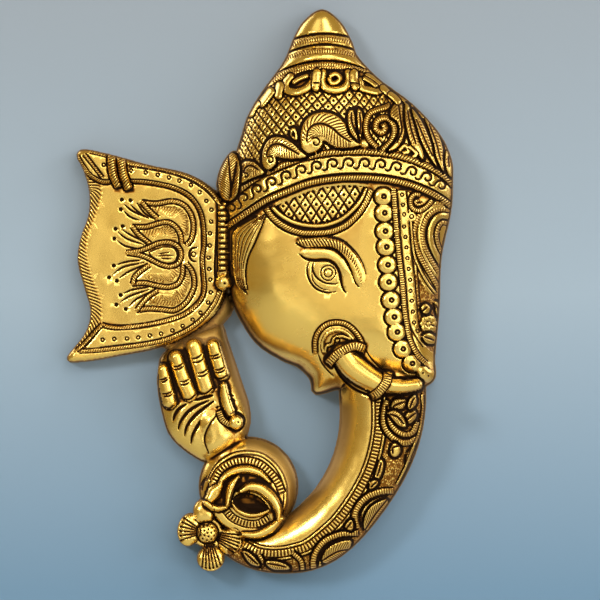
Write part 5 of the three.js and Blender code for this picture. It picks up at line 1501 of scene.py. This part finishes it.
patina = np.where(is_back, 0.5, np.clip(noted(sunken), -0.3, 1.2) + noted(stain_and_shade))
raw = np.where(is_back, 1, np.maximum(np.clip(1 - noted(cover) / DRAFT, 0, 1), noted(matte)))
for name, values in (("patina", patina), ("raw", raw), ("cuts", noted(cuts)),
                     ("line", np.where(is_back, 3, noted(line))),
                     ("cut_depth", np.where(is_back, 0, noted(cut_depth))),
                     ("punched", np.where(is_back, 0, noted(punched)))):
    mesh.attributes.new(name, "FLOAT", "POINT").data.foreach_set("value", values.astype(np.float32))

brass = Maker("brass")


def stored(name):
    """A value that was noted at each point."""
    return brass.wire("ShaderNodeAttribute", "Fac", {"attribute_name": name})


def ramp(value, first, last, kind="SMOOTHSTEP"):
    """From 0 where the value is the first number to 1 where it is the last."""
    return brass.wire("ShaderNodeMapRange", 0, {"interpolation_type": kind}, at0=value, at1=first, at2=last)


def larger(value, other):
    """The larger of two values."""
    return brass.wire("ShaderNodeMath", 0, {"operation": "MAXIMUM"}, at0=value, at1=other)


def mixed(share, first, last):
    """A colour between two others."""
    return brass.wire("ShaderNodeMix", 2, {"data_type": "RGBA"}, at0=share, at6=first, at7=last)


coordinates = brass.wire("ShaderNodeTexCoord", "Object")
cut = brass.wire("ShaderNodeMath", 0, {"operation": "PINGPONG"}, at0=stored("cuts"), at1=0.5) * 2
cut = ramp(cut, 0.3, 0.8) * stored("cut_depth")
drawn = ramp(stored("line"), 1.2, 0.5)
mottle = brass.wire("ShaderNodeTexNoise", "Fac", Vector=coordinates, Scale=90.0, Detail=4.0, Roughness=0.6)
grit = brass.wire("ShaderNodeTexNoise", "Fac", Vector=coordinates, Scale=1600.0, Detail=2.0)
grains = brass.wire("ShaderNodeTexVoronoi", "Distance", Vector=coordinates, Scale=850.0)
between = ramp(grains, 0.25, 0.55, "LINEAR") * stored("punched")
settled_and_shaded = ramp(stored("patina") + (mottle - 0.5) * 0.25, 0.05, 0.75)
dark = larger(larger(larger(settled_and_shaded, cut * 0.9), drawn), between * 0.7)
raw_share = stored("raw")
warm = brass.wire("ShaderNodeTexNoise", "Fac", Vector=coordinates, Scale=28.0, Detail=3.0)
clean = mixed(warm, (0.92, 0.68, 0.20), (0.88, 0.58, 0.11))
browned_and_shaded = mixed(ramp(dark, 0.0, 0.45, "LINEAR"), clean, (0.42, 0.17, 0.018))
polished = mixed(ramp(dark, 0.35, 1.0, "LINEAR"), browned_and_shaded, (0.020, 0.008, 0.002))
surface = mixed(raw_share, polished, (0.30, 0.17, 0.05))
dull = larger(dark * 0.5, raw_share * 0.4)
relief_of_cuts = brass.wire("ShaderNodeBump", 0, Height=cut * -1 + drawn * -1 + between * -1,
                            Distance=0.0004, Strength=0.8)
texture = brass.wire("ShaderNodeBump", 0, Height=grit, Distance=0.00006, Strength=0.5, Normal=relief_of_cuts)
hammered = brass.wire("ShaderNodeTexNoise", "Fac", Vector=coordinates, Scale=75.0, Detail=1.0)
worn = brass.wire("ShaderNodeBump", 0, Height=hammered, Distance=0.0006, Strength=1.0, Normal=texture)
gloss = brass.node("ShaderNodeBsdfPrincipled", Base_Color=surface, Metallic=dark * -0.12 + 1,
                   Roughness=dull + mottle * 0.12 + 0.2, Normal=worn)
brass.node("ShaderNodeOutputMaterial", Surface=Wire(brass, gloss.outputs[0]))
mesh.materials.append(brass.material)
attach(mask, "root")
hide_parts("ganesha_mask")
